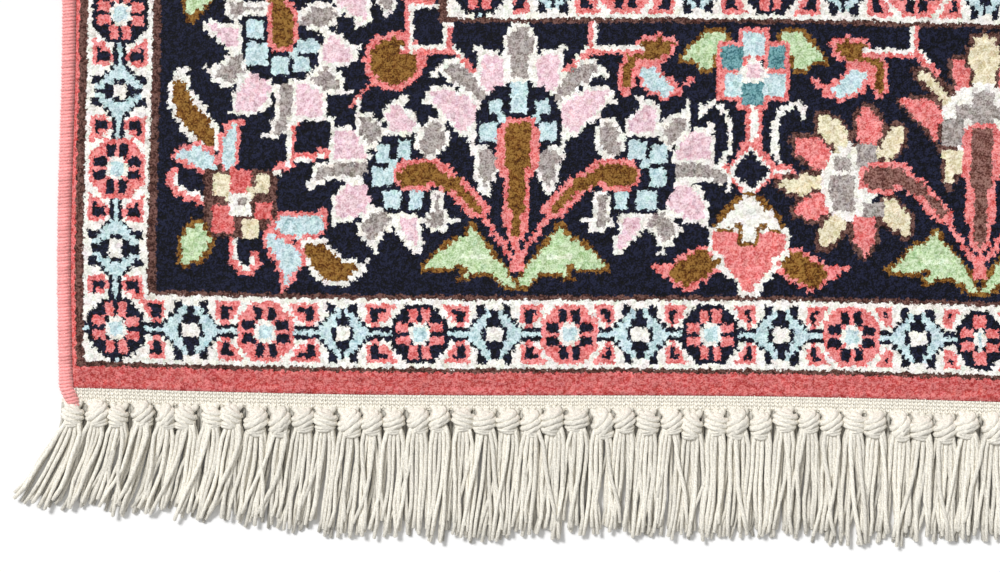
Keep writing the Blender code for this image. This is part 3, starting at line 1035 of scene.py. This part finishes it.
# %% Scatter tree
def make_scatter_tree():
    tree, given = new_tree("Copies on points", (
        ("Shapes", "NodeSocketCollection"),
        ("Tilt", "NodeSocketFloat"),
        ("Size change", "NodeSocketFloat"),
        ("Seed", "NodeSocketInt"),
        ("Material", "NodeSocketMaterial"),
    ))
    shapes = add_node(
        tree, "GeometryNodeCollectionInfo",
        {"Collection": given.outputs["Shapes"], "Separate Children": True, "Reset Children": True})
    pick = add_node(
        tree, "FunctionNodeRandomValue", {4: 0, 5: 99, "Seed": given.outputs["Seed"]}, data_type="INT")

    turn = add_node(tree, "GeometryNodeInputNamedAttribute", {"Name": "turn"}, data_type="FLOAT_VECTOR")
    least = add_node(tree, "ShaderNodeVectorMath", {0: (-1, -1, -1), "Scale": given.outputs["Tilt"]},
                     operation="SCALE")
    most = add_node(tree, "ShaderNodeVectorMath", {0: (1, 1, 1), "Scale": given.outputs["Tilt"]},
                    operation="SCALE")
    tilt = add_node(
        tree, "FunctionNodeRandomValue",
        {0: least, 1: most, "Seed": given.outputs["Seed"]},
        data_type="FLOAT_VECTOR")
    angles = add_node(tree, "ShaderNodeVectorMath", {0: turn, 1: tilt}, operation="ADD")
    rotation = add_node(tree, "FunctionNodeEulerToRotation", {0: angles})

    size = add_node(tree, "GeometryNodeInputNamedAttribute", {"Name": "size"}, data_type="FLOAT_VECTOR")
    smaller = add_node(tree, "ShaderNodeMath", {0: 1.0, 1: given.outputs["Size change"]},
                       operation="SUBTRACT")
    larger = add_node(tree, "ShaderNodeMath", {0: 1.0, 1: given.outputs["Size change"]}, operation="ADD")
    change = add_node(
        tree, "FunctionNodeRandomValue", {2: smaller, 3: larger, "Seed": given.outputs["Seed"]},
        data_type="FLOAT")
    scale = add_node(tree, "ShaderNodeVectorMath", {0: size, "Scale": change.outputs[1]},
                     operation="SCALE")
    copies = add_node(tree, "GeometryNodeInstanceOnPoints", {
        "Points": given.outputs["Geometry"],
        "Instance": shapes,
        "Pick Instance": True,
        "Instance Index": pick.outputs[2],
        "Rotation": rotation,
        "Scale": scale,
    })
    finish_tree(tree, copies, given.outputs["Material"])
    return tree


scatter_tree = make_scatter_tree()
print("Tree", scatter_tree.name, "with", len(scatter_tree.nodes), "nodes")

# %% [markdown]
# ## Running a tree
# A tree runs as a modifier. Its inputs are set before it is evaluated for the first time. The result
# is then kept as a plain mesh and the modifier is removed, so the finished piece stands alone. What
# is made for the front end of the rug can be turned half round, to make the back end.

# %% Running a tree
def run_tree(name, start, tree, values):
    """Run a tree on a mesh and give back the result as a plain object."""
    piece = add_object(name, start)
    modifier = piece.modifiers.new(tree.name, "NODES")
    modifier.node_group = tree
    names = {socket.name: socket.identifier for socket in tree.interface.items_tree
             if socket.in_out == "INPUT"}
    for label, value in values.items():
        modifier[names[label]] = value
    view = bpy.context.evaluated_depsgraph_get()
    result = bpy.data.meshes.new_from_object(
        piece.evaluated_get(view), preserve_all_data_layers=True, depsgraph=view)
    piece.modifiers.remove(modifier)
    piece.data = result
    result.name = name
    bpy.data.meshes.remove(start)
    return piece


def path_mesh(paths, shades=None):
    """Edges for a list of paths. Each path is a list of points with a thickness, in metres."""
    points = []
    edges = []
    thickness = []
    for path in paths:
        first = len(points)
        points += [tuple(point[:3]) for point in path]
        thickness += [point[3] for point in path]
        edges += [(first + i, first + i + 1) for i in range(len(path) - 1)]
    mesh = bpy.data.meshes.new("paths")
    mesh.from_pydata(points, edges, [])
    mesh.attributes.new("thickness", "FLOAT", "POINT").data.foreach_set("value", thickness)
    if shades:
        shade = [value for path, value in zip(paths, shades) for point in path]
        mesh.attributes.new("shade", "FLOAT", "POINT").data.foreach_set("value", shade)
    return mesh


def point_mesh(points, turns, sizes, shades):
    """Loose points that carry how the copy on each one is turned, sized and shaded."""
    mesh = bpy.data.meshes.new("points")
    mesh.from_pydata(points, [], [])
    turn = mesh.attributes.new("turn", "FLOAT_VECTOR", "POINT")
    turn.data.foreach_set("vector", np.array(turns, dtype=float).ravel())
    size = mesh.attributes.new("size", "FLOAT_VECTOR", "POINT")
    size.data.foreach_set("vector", np.array(sizes, dtype=float).ravel())
    shade = mesh.attributes.new("shade", "FLOAT", "POINT")
    shade.data.foreach_set("value", shades)
    return mesh


def turned(points, turn):
    """Turn points half round the middle of the rug."""
    if not turn:
        return [tuple(point) for point in points]
    return [(-point[0], -point[1], *point[2:]) for point in points]


def scatter(name, shapes, rows, turn, seed, inputs):
    """Copies of some shapes. Each row has the place, the turn, the size and the shade of a copy."""
    places, turns, sizes, shades = zip(*rows)
    collection = bpy.data.collections.new("shapes")
    bpy.context.scene.collection.children.link(collection)
    for shape in shapes:
        bpy.context.scene.collection.objects.unlink(shape)
        collection.objects.link(shape)
    start = point_mesh(turned(places, turn), turns, sizes, shades)
    piece = run_tree(name, start, scatter_tree, {"Shapes": collection, "Seed": seed, **inputs})
    for shape in shapes:
        bpy.data.objects.remove(shape)
    bpy.data.collections.remove(collection)
    return piece


print("Ready to run", yarn_tree.name, "and", scatter_tree.name)

# %% [markdown]
# ## Yarn materials
# Cotton and silk yarn share one recipe. The twist is a wave that runs round and along the yarn, so
# it climbs like a thread. It dents the surface, and painted shade darkens the grooves a little. An
# attribute makes each strand its own shade: a random tone, and on the fringe's lower strands painted
# shade as well.

# %% Yarn materials
def make_yarn_material(name, code, plies, pitch, contrast, sheen):
    """Yarn of some plies, whose twist climbs once round in `pitch` millimetres."""
    material, tree, shader = new_material(name)
    yarn_map = add_node(tree, "ShaderNodeUVMap", uv_map="yarn_map")
    split = add_node(tree, "ShaderNodeSeparateXYZ", {0: yarn_map})
    turns = add_node(tree, "ShaderNodeMath", {0: split.outputs[0], 1: plies}, operation="MULTIPLY")
    climb = add_node(tree, "ShaderNodeMath", {0: split.outputs[1], 1: 1 / pitch, 2: turns},
                     operation="MULTIPLY_ADD")
    angle = add_node(tree, "ShaderNodeMath", {0: climb, 1: 2 * math.pi}, operation="MULTIPLY")
    wave = add_node(tree, "ShaderNodeMath", {0: angle}, operation="SINE")
    groove = add_node(tree, "ShaderNodeMath", {0: wave, 1: 0.5, 2: 0.5}, operation="MULTIPLY_ADD")

    place = add_node(tree, "ShaderNodeTexCoord").outputs["Object"]
    fibre = add_node(tree, "ShaderNodeTexNoise", {"Vector": place, "Scale": FIBRE_SCALE, "Detail": 2})
    own = add_node(tree, "ShaderNodeAttribute", attribute_name="shade").outputs["Fac"]
    # Painted shade: the yarn is darker in its grooves and lighter on the ridges between them
    groove_shade = add_node(tree, "ShaderNodeMath", {0: groove, 1: contrast, 2: 1.0 - 0.6 * contrast},
                    operation="MULTIPLY_ADD")
    grain = add_node(tree, "ShaderNodeMath", {0: fibre, 1: 0.9, 2: 0.55}, operation="MULTIPLY_ADD")
    both = add_node(tree, "ShaderNodeMath", {0: groove_shade, 1: grain}, operation="MULTIPLY")
    shade = add_node(tree, "ShaderNodeMath", {0: both, 1: own}, operation="MULTIPLY")
    colour = add_node(tree, "ShaderNodeVectorMath", {0: linear(code), "Scale": shade}, operation="SCALE")
    dent = add_node(tree, "ShaderNodeMath", {0: groove, 1: 0.8 * contrast}, operation="MULTIPLY")
    height = add_node(tree, "ShaderNodeMath", {0: fibre, 1: 0.15, 2: dent}, operation="MULTIPLY_ADD")
    bump = add_node(tree, "ShaderNodeBump", {"Height": height, "Distance": 0.001, "Strength": 0.9})
    set_inputs(tree, shader, {
        "Base Color": colour,
        "Normal": bump,
        "Roughness": 0.8,
        "Specular IOR Level": 0.2,
        "Sheen Weight": sheen,
    })
    return material


# Twisted cotton warp yarn: matt and off-white, with grooves that climb round each strand
cotton = make_yarn_material("twisted cotton yarn", "F4EFE3", 3, 3.2, 0.12, 0.1)
# Silk floss, wrapped round the edge: lighter than the pile, partly as painted sheen, with the shader's
# sheen along each turn
overcast = make_yarn_material("wrapped silk floss", "F8A9A7", 2, 2.4, 0.08, 0.35)
print("Materials", cotton.name, "and", overcast.name)

# %% [markdown]
# ## Edge cords
# Down each long edge runs a cord wrapped in coral silk. The core is one thick yarn. The wraps are
# short arcs of yarn over it, one every 1.1 mm. They get smaller on the tail, which runs on past the
# pile and leans in towards the first tassels.

# %% Edge cords
WRAP_PITCH = 0.0011
WRAP_REACH = 0.0023
WRAP_HEIGHT = 0.0019
CORE_RADIUS = 0.0017
CORD_MIDDLE = 0.0024
TAIL_LENGTH = 0.0066
TAIL_LEAN = 0.0026


def wrap_path(dice):
    """One turn of floss over the cord, from one foot to the other."""
    points = []
    for step in range(8):
        turn = math.radians(-48 + 276 * step / 7)
        x = WRAP_REACH * math.cos(turn)
        z = WRAP_HEIGHT * math.sin(turn)
        lean = 0.0002 * math.cos(turn)
        radius = 0.00056 + dice.uniform(-0.00004, 0.00004)
        points.append((x, lean, z, radius))
    return points


def cord_place(side, y):
    """Point of the cord's middle line, and how far along the tail it is, from 0 to 1."""
    past = max(0.0, abs(y) - CLOTH_LENGTH / 2) / TAIL_LENGTH
    x = side * (CLOTH_WIDTH / 2 + WRAP_REACH + 0.0002 - TAIL_LEAN * past)
    x_woven, y_woven = woven(x, y)
    return (x_woven, y_woven, CORD_MIDDLE * (1.0 - 0.2 * past)), past


def make_edge_cord(name, side, seed):
    dice = random.Random(seed)
    end = CLOTH_LENGTH / 2 + TAIL_LENGTH
    core = []
    for y in np.linspace(-end + 0.0005, end - 0.0005, 90):
        place, past = cord_place(side, y)
        core.append((*place, CORE_RADIUS * (1.0 - 0.3 * past)))
    core = [(*core[0][:3], 0.0)] + core + [(*core[-1][:3], 0.0)]
    core_piece = run_tree(name + "_core", path_mesh([core], [0.8]), yarn_tree, {
        "Sides": 8, "Material": overcast})

    shapes = [run_tree("wrap", path_mesh([wrap_path(dice)]), yarn_tree, {
        "Sides": 4, "Material": overcast}) for _ in range(3)]
    rows = []
    for y in np.arange(-end + 0.0006, end - 0.0005, WRAP_PITCH):
        place, past = cord_place(side, y)
        scale = 1.0 - 0.25 * past
        rows.append((place, (0.0, 0.0, 0.0), (scale, 1.2, scale), dice.uniform(0.90, 1.14)))
    wraps = scatter(name + "_wraps", shapes, rows, False, seed, {
        "Tilt": 0.05, "Size change": 0.03, "Material": overcast})
    return [core_piece, wraps]


edge_cords = {
    "selvedge_left": make_edge_cord("left_cord", -1, 3),
    "selvedge_right": make_edge_cord("right_cord", 1, 4),
}
for name, parts in edge_cords.items():
    print(name, [len(part.data.polygons) for part in parts], "faces")

# %% [markdown]
# ## Woven cotton strips
# At each end the warps are held by a narrow flat-woven strip. Its ground is a thin closed strip,
# which slopes down from the pile, and four rows of slanted stitches lie on it. Two short lozenges
# make one stitch, shaped like an arrow. The front end is built first; the back one is the same,
# turned half round.

# %% Woven cotton strips
STRIP_TOP = 0.0031
STRIP_EDGE = 0.0016
STITCH_ROWS = (0.0004, 0.0016, 0.0028, 0.0040)
STRIP_SLOPE = math.atan((STRIP_TOP - STRIP_EDGE) / STRIP_DEPTH)


def strip_height(out):
    """Height of the strip's ground at a distance out from the pile."""
    return STRIP_TOP - math.tan(STRIP_SLOPE) * out


def make_strip_ground(name, turn):
    inner = RUG_WIDTH / 2 - EAR_WIDTH - EAR_SLOPE
    outer = RUG_WIDTH / 2
    places = [-outer, -inner - 0.0007, *np.linspace(-inner, inner, 90), inner + 0.0007, outer]
    corners = []
    for x in places:
        back = EAR_SETBACK if abs(x) > inner + 0.0003 else 0.0001
        section = ((back, 0.0), (back, strip_height(back)), (STRIP_DEPTH, STRIP_EDGE), (STRIP_DEPTH, 0.0))
        for out, z in section:
            x_woven, y_woven = woven(x, -CLOTH_LENGTH / 2 - out)
            corners.append((x_woven, y_woven, z))
    faces = [(0, 1, 2, 3)]
    for ring in range(len(places) - 1):
        for i in range(4):
            j = (i + 1) % 4
            first = ring * 4
            faces.append((first + i, first + 4 + i, first + 4 + j, first + j))
    last = len(corners) - 4
    faces.append((last + 3, last + 2, last + 1, last))
    mesh = bpy.data.meshes.new(name)
    fill_mesh(mesh, np.array(turned(corners, turn)), faces)
    mesh.materials.append(cotton)
    shade = mesh.attributes.new("shade", "FLOAT", "POINT")
    shade.data.foreach_set("value", [1.0] * len(corners))
    return add_object(name, mesh)


def stitch_shape(number, dice):
    """One arrow-shaped stitch: two stretched lozenges that meet at its point."""
    corners = []
    faces = []
    for side in (-1, 1):
        start = np.array((0.00008 * side, 0.00050, 0.0))
        end = np.array((0.00062 * side, -0.00060 + dice.uniform(-0.00008, 0.00008), 0.0))
        middle = (start + end) / 2
        across = np.array((0.00030, 0.00016 * side, 0.0))
        up = np.array((0.0, 0.0, 0.00042))
        first = len(corners)
        corners += [start, middle + across, end, middle - across, middle + up, middle - up]
        ring = (0, 1, 2, 3)
        for i in range(4):
            j = (i + 1) % 4
            faces.append((first + ring[j], first + ring[i], first + 4))
            faces.append((first + ring[i], first + ring[j], first + 5))
    mesh = bpy.data.meshes.new("stitch")
    fill_mesh(mesh, np.array(corners), faces)
    mesh.polygons.foreach_set("use_smooth", [True] * len(mesh.polygons))
    return add_object("stitch {}".format(number), mesh)


def make_stitches(name, turn, seed):
    dice = random.Random(seed)
    shapes = [stitch_shape(number, dice) for number in range(3)]
    slope = (STRIP_SLOPE, 0.0, math.pi if turn else 0.0)
    rows = []
    for out in STITCH_ROWS:
        for number in range(KNOTS_ACROSS):
            x = (number + 0.5 - KNOTS_ACROSS / 2) * KNOT_ACROSS
            x += dice.uniform(-0.0001, 0.0001)
            place = woven(x, -CLOTH_LENGTH / 2 - out + dice.uniform(-0.00008, 0.00008))
            height = strip_height(out) + 0.00005
            rows.append(((*place, height), slope, (1.35, 1.7, 0.7), dice.uniform(1.02, 1.10)))
    return scatter(name, shapes, rows, turn, seed, {
        "Tilt": 0.12, "Size change": 0.08, "Material": cotton})


strips = {}
for node, end_name, turn in (("fringe_front", "front", False), ("fringe_back", "back", True)):
    ground = make_strip_ground(end_name + "_strip", turn)
    stitches = make_stitches(end_name + "_stitches", turn, 21)
    strips[node] = (ground, stitches)
    print(end_name, "strip with", len(stitches.data.polygons), "faces of stitches")

# %% [markdown]
# ## Tassel knots
# Past the strip, each bunch of warps is tied in an overhand knot. A rounded core is one short, fat
# yarn. Thick bands of yarn cross it side by side on the slant, as the bunch does in a real knot,
# and two more lie round its foot like a collar. Three short legs join the knot to the strip. Five
# different knots are made, and each tassel picks one.

# %% Tassel knots
# Columns: distance past the strip and radius of the core, in millimetres
KNOT_CORE = ((-0.2, 0.0), (-0.2, 1.5), (0.7, 2.3), (1.9, 3.0), (3.5, 3.4), (5.0, 3.2), (6.3, 2.7),
             (7.2, 2.0), (7.2, 0.0))
KNOT_BANDS = (1.7, 3.4, 5.0)
KNOT_COLLARS = ((6.3, 2.4), (7.0, 2.1))
KNOT_LEGS = (-2.3, 0.0, 2.3)


def core_radius(out):
    """Radius of the knot's core at a distance past the strip, in millimetres."""
    places = [out_mm for out_mm, radius in KNOT_CORE[1:-1]]
    radii = [radius for out_mm, radius in KNOT_CORE[1:-1]]
    return float(np.interp(out, places, radii))


def knot_paths(dice):
    paths = [[(0.0, -out / 1000, 0.0, radius / 1000) for out, radius in KNOT_CORE]]
    for spread in KNOT_LEGS:
        ends = ((spread, -1.3, -2.0), (spread * 0.8, 0.1, -1.2), (spread * 0.4, 1.6, 0.3))
        leg = [(x / 1000, -out / 1000, z / 1000, 0.00135) for x, out, z in ends]
        paths.append([(*leg[0][:3], 0.0)] + leg)
    lean = dice.choice((-1, 1)) * dice.uniform(1.0, 2.3)
    for band in KNOT_BANDS:
        band_out = band + dice.uniform(-0.25, 0.25)
        thick = dice.uniform(0.98, 1.2)
        path = []
        for step in range(9):
            turn = math.radians(-18 + 216 * step / 8)
            out = band_out + lean * math.cos(turn) + 0.7 * math.sin(turn)
            radius = core_radius(out) - 0.35
            point = (radius * math.cos(turn), -out, radius * math.sin(turn))
            path.append((*(value / 1000 for value in point), thick / 1000))
        path = [(*path[0][:3], 0.0)] + path + [(*path[-1][:3], 0.0)]
        paths.append(path)
    for collar_out, radius in KNOT_COLLARS:
        lean = dice.uniform(-0.4, 0.2)
        collar = []
        for step in range(8):
            turn = math.radians(-10 + 200 * step / 7)
            out = collar_out + lean * math.cos(turn) + 0.6 * math.sin(turn)
            point = (radius * math.cos(turn), -out, radius * math.sin(turn))
            collar.append((*(value / 1000 for value in point), 0.0007))
        paths.append(collar)
    return paths


def read_spread(x, column):
    """Value of a TASSEL_SPREAD column at a place across the rug."""
    places = [row[0] for row in TASSEL_SPREAD]
    return float(np.interp(x, places, [row[column] for row in TASSEL_SPREAD]))


def tassel_places():
    """Middle, length past the strip, sweep and drop of each tassel, as the CAD has them."""
    dice = random.Random(SEED)
    places = []
    for number in range(TASSELS):
        middle = (number - (TASSELS - 1) / 2) * TASSEL_PITCH
        length = read_spread(middle, 1) + dice.uniform(-LENGTH_JITTER, LENGTH_JITTER)
        sweep = read_spread(middle, 2) + dice.uniform(-SWEEP_JITTER, SWEEP_JITTER)
        drop = KNOT_DROP * dice.random()
        places.append((middle, length, sweep, drop))
    return places


def make_knots(name, turn, seed):
    dice = random.Random(seed)
    shapes = [run_tree("knot", path_mesh(knot_paths(dice)), yarn_tree, {
        "Sides": 5, "Material": cotton}) for _ in range(5)]
    rows = []
    for middle, length, sweep, drop in tassel_places():
        slip = drop + dice.uniform(-0.0009, 0.0005)
        place = woven(middle, -CLOTH_LENGTH / 2 - STRIP_DEPTH - slip)
        angles = (0.0, 0.0, (math.pi if turn else 0.0) + dice.uniform(-0.24, 0.24))
        size = (dice.uniform(0.98, 1.14), dice.uniform(0.88, 1.12), 0.72)
        rows.append(((*place, 0.0026), angles, size, dice.uniform(0.87, 0.96)))
    return scatter(name, shapes, rows, turn, seed, {
        "Tilt": 0.06, "Size change": 0.03, "Material": cotton})


knots = {
    "fringe_front": make_knots("front_knots", False, 31),
    "fringe_back": make_knots("back_knots", True, 32),
}
for node, piece in knots.items():
    print(node, "knots with", len(piece.data.polygons), "faces")

# %% [markdown]
# ## Fringe strands
# Each tassel is fourteen strands in three layers. They fill the width of the knot where they leave
# it, and come down to the floor over the first centimetre. The lowest layer is darker, as painted
# shade, so the gaps look deep. Some strands wander across their neighbours. The tassels sweep
# sideways near the corners, like those in the CAD, and the last few fan out wide.

# %% Fringe strands
# Columns: strands in the layer, start past the strip, spread in the knot, below it and at the tips,
# height at the root and at the tip, radius, darkest and lightest shade. Lengths are in millimetres.
# Lower layers are darker as painted shade; the lowest spreads under the knots to fill their gaps
LAYERS = (
    (3, -0.6, 10.0, 10.0, 8.0, 0.9, 0.6, 0.66, 0.50, 0.64),
    (6, 4.8, 4.4, 7.8, 8.8, 2.2, 1.2, 0.76, 0.76, 0.92),
    (5, 4.8, 4.0, 7.4, 9.0, 3.4, 2.4, 0.80, 0.88, 1.04),
)
STRAND_POINTS = 9
POINT_CROWDING = 1.25
OPENING = 0.0050
STRAY_SHARE = 0.18
FAN_START = 0.288
FAN_END = 0.302


def strand_path(layer, number, tassel, dice):
    """Points of one strand, from inside its knot to its tip."""
    middle, length, sweep, drop = tassel
    count = layer[0]
    start, in_knot, below, at_tip, high, low, thick = (value / 1000 for value in layer[1:8])
    fan = float(ease((abs(middle) - FAN_START) / (FAN_END - FAN_START)))
    seat = (number + 0.5) / count - 0.5
    tip = seat * at_tip * (1 + 0.9 * fan) + dice.uniform(-0.0012, 0.0012)
    sweep = sweep * (1 + 0.42 * fan)
    if dice.random() < STRAY_SHARE:
        wander = dice.choice((-1, 1)) * dice.uniform(0.0015, 0.0075)
        lift = 0.0012
    else:
        wander = dice.uniform(-0.0008, 0.0008)
        lift = 0.0
    wave = dice.uniform(0.7, 1.7)
    wave_size = dice.uniform(0.0003, 0.0010)
    phase = dice.uniform(0, 2 * math.pi)
    start += drop
    end = length + dice.uniform(-0.0040, 0.0018)
    radius = thick * dice.uniform(0.88, 1.10)
    points = []
    for step in range(STRAND_POINTS):
        share = (step / (STRAND_POINTS - 1)) ** POINT_CROWDING
        out = start + (end - start) * share
        bend = max(0.0, (out - SWEEP_START) / (SWEEP_REACH - SWEEP_START))
        opened = float(ease((out - start) / OPENING))
        wide = seat * (in_knot + (below - in_knot) * opened)
        x = middle + wide + (tip - seat * below) * share + sweep * bend ** SWEEP_CURVE
        x += wave_size * share * math.sin(2 * math.pi * wave * share + phase)
        x += wander * share ** 1.4
        down = float(ease((out - start) / 0.012))
        z = high + (low - high) * down + lift * math.sin(math.pi * share)
        z += 0.0002 * math.sin(7 * share + 2 * phase) * down
        x_woven, y_woven = woven(x, -CLOTH_LENGTH / 2 - STRIP_DEPTH - out)
        points.append((x_woven, y_woven, z, radius * (1.0 - 0.15 * share)))
    first, last = points[0], points[-1]
    tip_point = (last[0], last[1] - 0.00035, last[2], 0.0)
    return [(*first[:3], 0.0)] + points + [tip_point]


def make_strands(name, turn, seed):
    dice = random.Random(seed)
    paths = []
    shades = []
    for tassel in tassel_places():
        for layer in LAYERS:
            for number in range(layer[0]):
                paths.append(turned(strand_path(layer, number, tassel, dice), turn))
                # The shade is painted shade by layer, with a random tone for each strand
                shades.append(dice.uniform(layer[-2], layer[-1]))
    return run_tree(name, path_mesh(paths, shades), yarn_tree, {"Sides": 5, "Material": cotton})


strands = {
    "fringe_front": make_strands("front_strands", False, 41),
    "fringe_back": make_strands("back_strands", True, 42),
}
for node, piece in strands.items():
    print(node, "strands with", len(piece.data.polygons), "faces")

# %% [markdown]
# ## Attaching each piece to the rug
# Every new piece rides on the rug's one body and replaces a node of the CAD, which is hidden. The
# three lengths of pile replace the CAD's pile.

# %% Attaching the pieces
def register(piece, node):
    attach(piece, "root")
    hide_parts(node)


for node, parts in edge_cords.items():
    for part in parts:
        register(part, node)
fringes = {}
for node, (ground, stitches) in strips.items():
    fringes[node] = [ground, stitches, knots[node], strands[node]]
    for part in fringes[node]:
        register(part, node)

cord_parts = edge_cords["selvedge_left"] + edge_cords["selvedge_right"]
carried = (fringes["fringe_front"], cord_parts, fringes["fringe_back"])
for piece, first, last, others in zip(pile, LENGTHS, LENGTHS[1:], carried):
    register(piece, "rug_pile")

triangles = 0
for piece in bpy.context.scene.objects:
    if piece.type == "MESH" and not piece.hide_render:
        piece.data.calc_loop_triangles()
        triangles += len(piece.data.loop_triangles)
        print(piece.name, len(piece.data.loop_triangles), "triangles")
print("Triangles in all", triangles)

# %% [markdown]
# ## Floor, light and camera
# The rug lies on a plain white floor. A broad lamp from the upper left and a pale sky give soft
# shadows between the strands. The camera looks straight down at one corner of the rug.

# %% Floor, light and camera
FLOOR_REACH = 4.0
FLOOR_CORNERS = ((-1, -1), (1, -1), (1, 1), (-1, 1))
CAMERA_PLACE = (-0.1591, -0.4298, 0.784)
CAMERA_TURN = 0.25
LAMP_TILT = (-28, -30)
LAMP_WIDTH = 14

scene = bpy.context.scene
scene.view_settings.view_transform = "Standard"

floor_mesh = bpy.data.meshes.new("floor")
corners = [(x * FLOOR_REACH, y * FLOOR_REACH, 0) for x, y in FLOOR_CORNERS]
floor_mesh.from_pydata(corners, [], [(0, 1, 2, 3)])
# Matt white board: it has no gloss, so only the rug's soft shadow shows on it
floor_material, floor_tree, floor_shader = new_material("matt white board")
set_inputs(floor_tree, floor_shader, {"Base Color": (*linear("F7F7F7"), 1.0), "Roughness": 0.9})
floor_mesh.materials.append(floor_material)
floor = add_object("floor", floor_mesh)

sun_data = bpy.data.lights.new("key light", "SUN")
sun_data.energy = 2.5
sun_data.angle = math.radians(LAMP_WIDTH)
sun = add_object("key light", sun_data)
sun.rotation_euler = (math.radians(LAMP_TILT[0]), math.radians(LAMP_TILT[1]), 0)

world = bpy.data.worlds.new("pale sky")
world.use_nodes = True
sky = world.node_tree.nodes["Background"]
set_inputs(world.node_tree, sky, {"Color": (1.0, 1.0, 1.0, 1.0), "Strength": 0.5})
scene.world = world

camera_data = bpy.data.cameras.new("camera")
camera_data.lens = 85
camera_data.sensor_width = 36
camera_data.clip_start = 0.01
camera = add_object("camera", camera_data)
camera.location = CAMERA_PLACE
camera.rotation_euler = (0, 0, math.radians(CAMERA_TURN))
scene.camera = camera
print("Camera above", [round(value, 3) for value in camera.location])
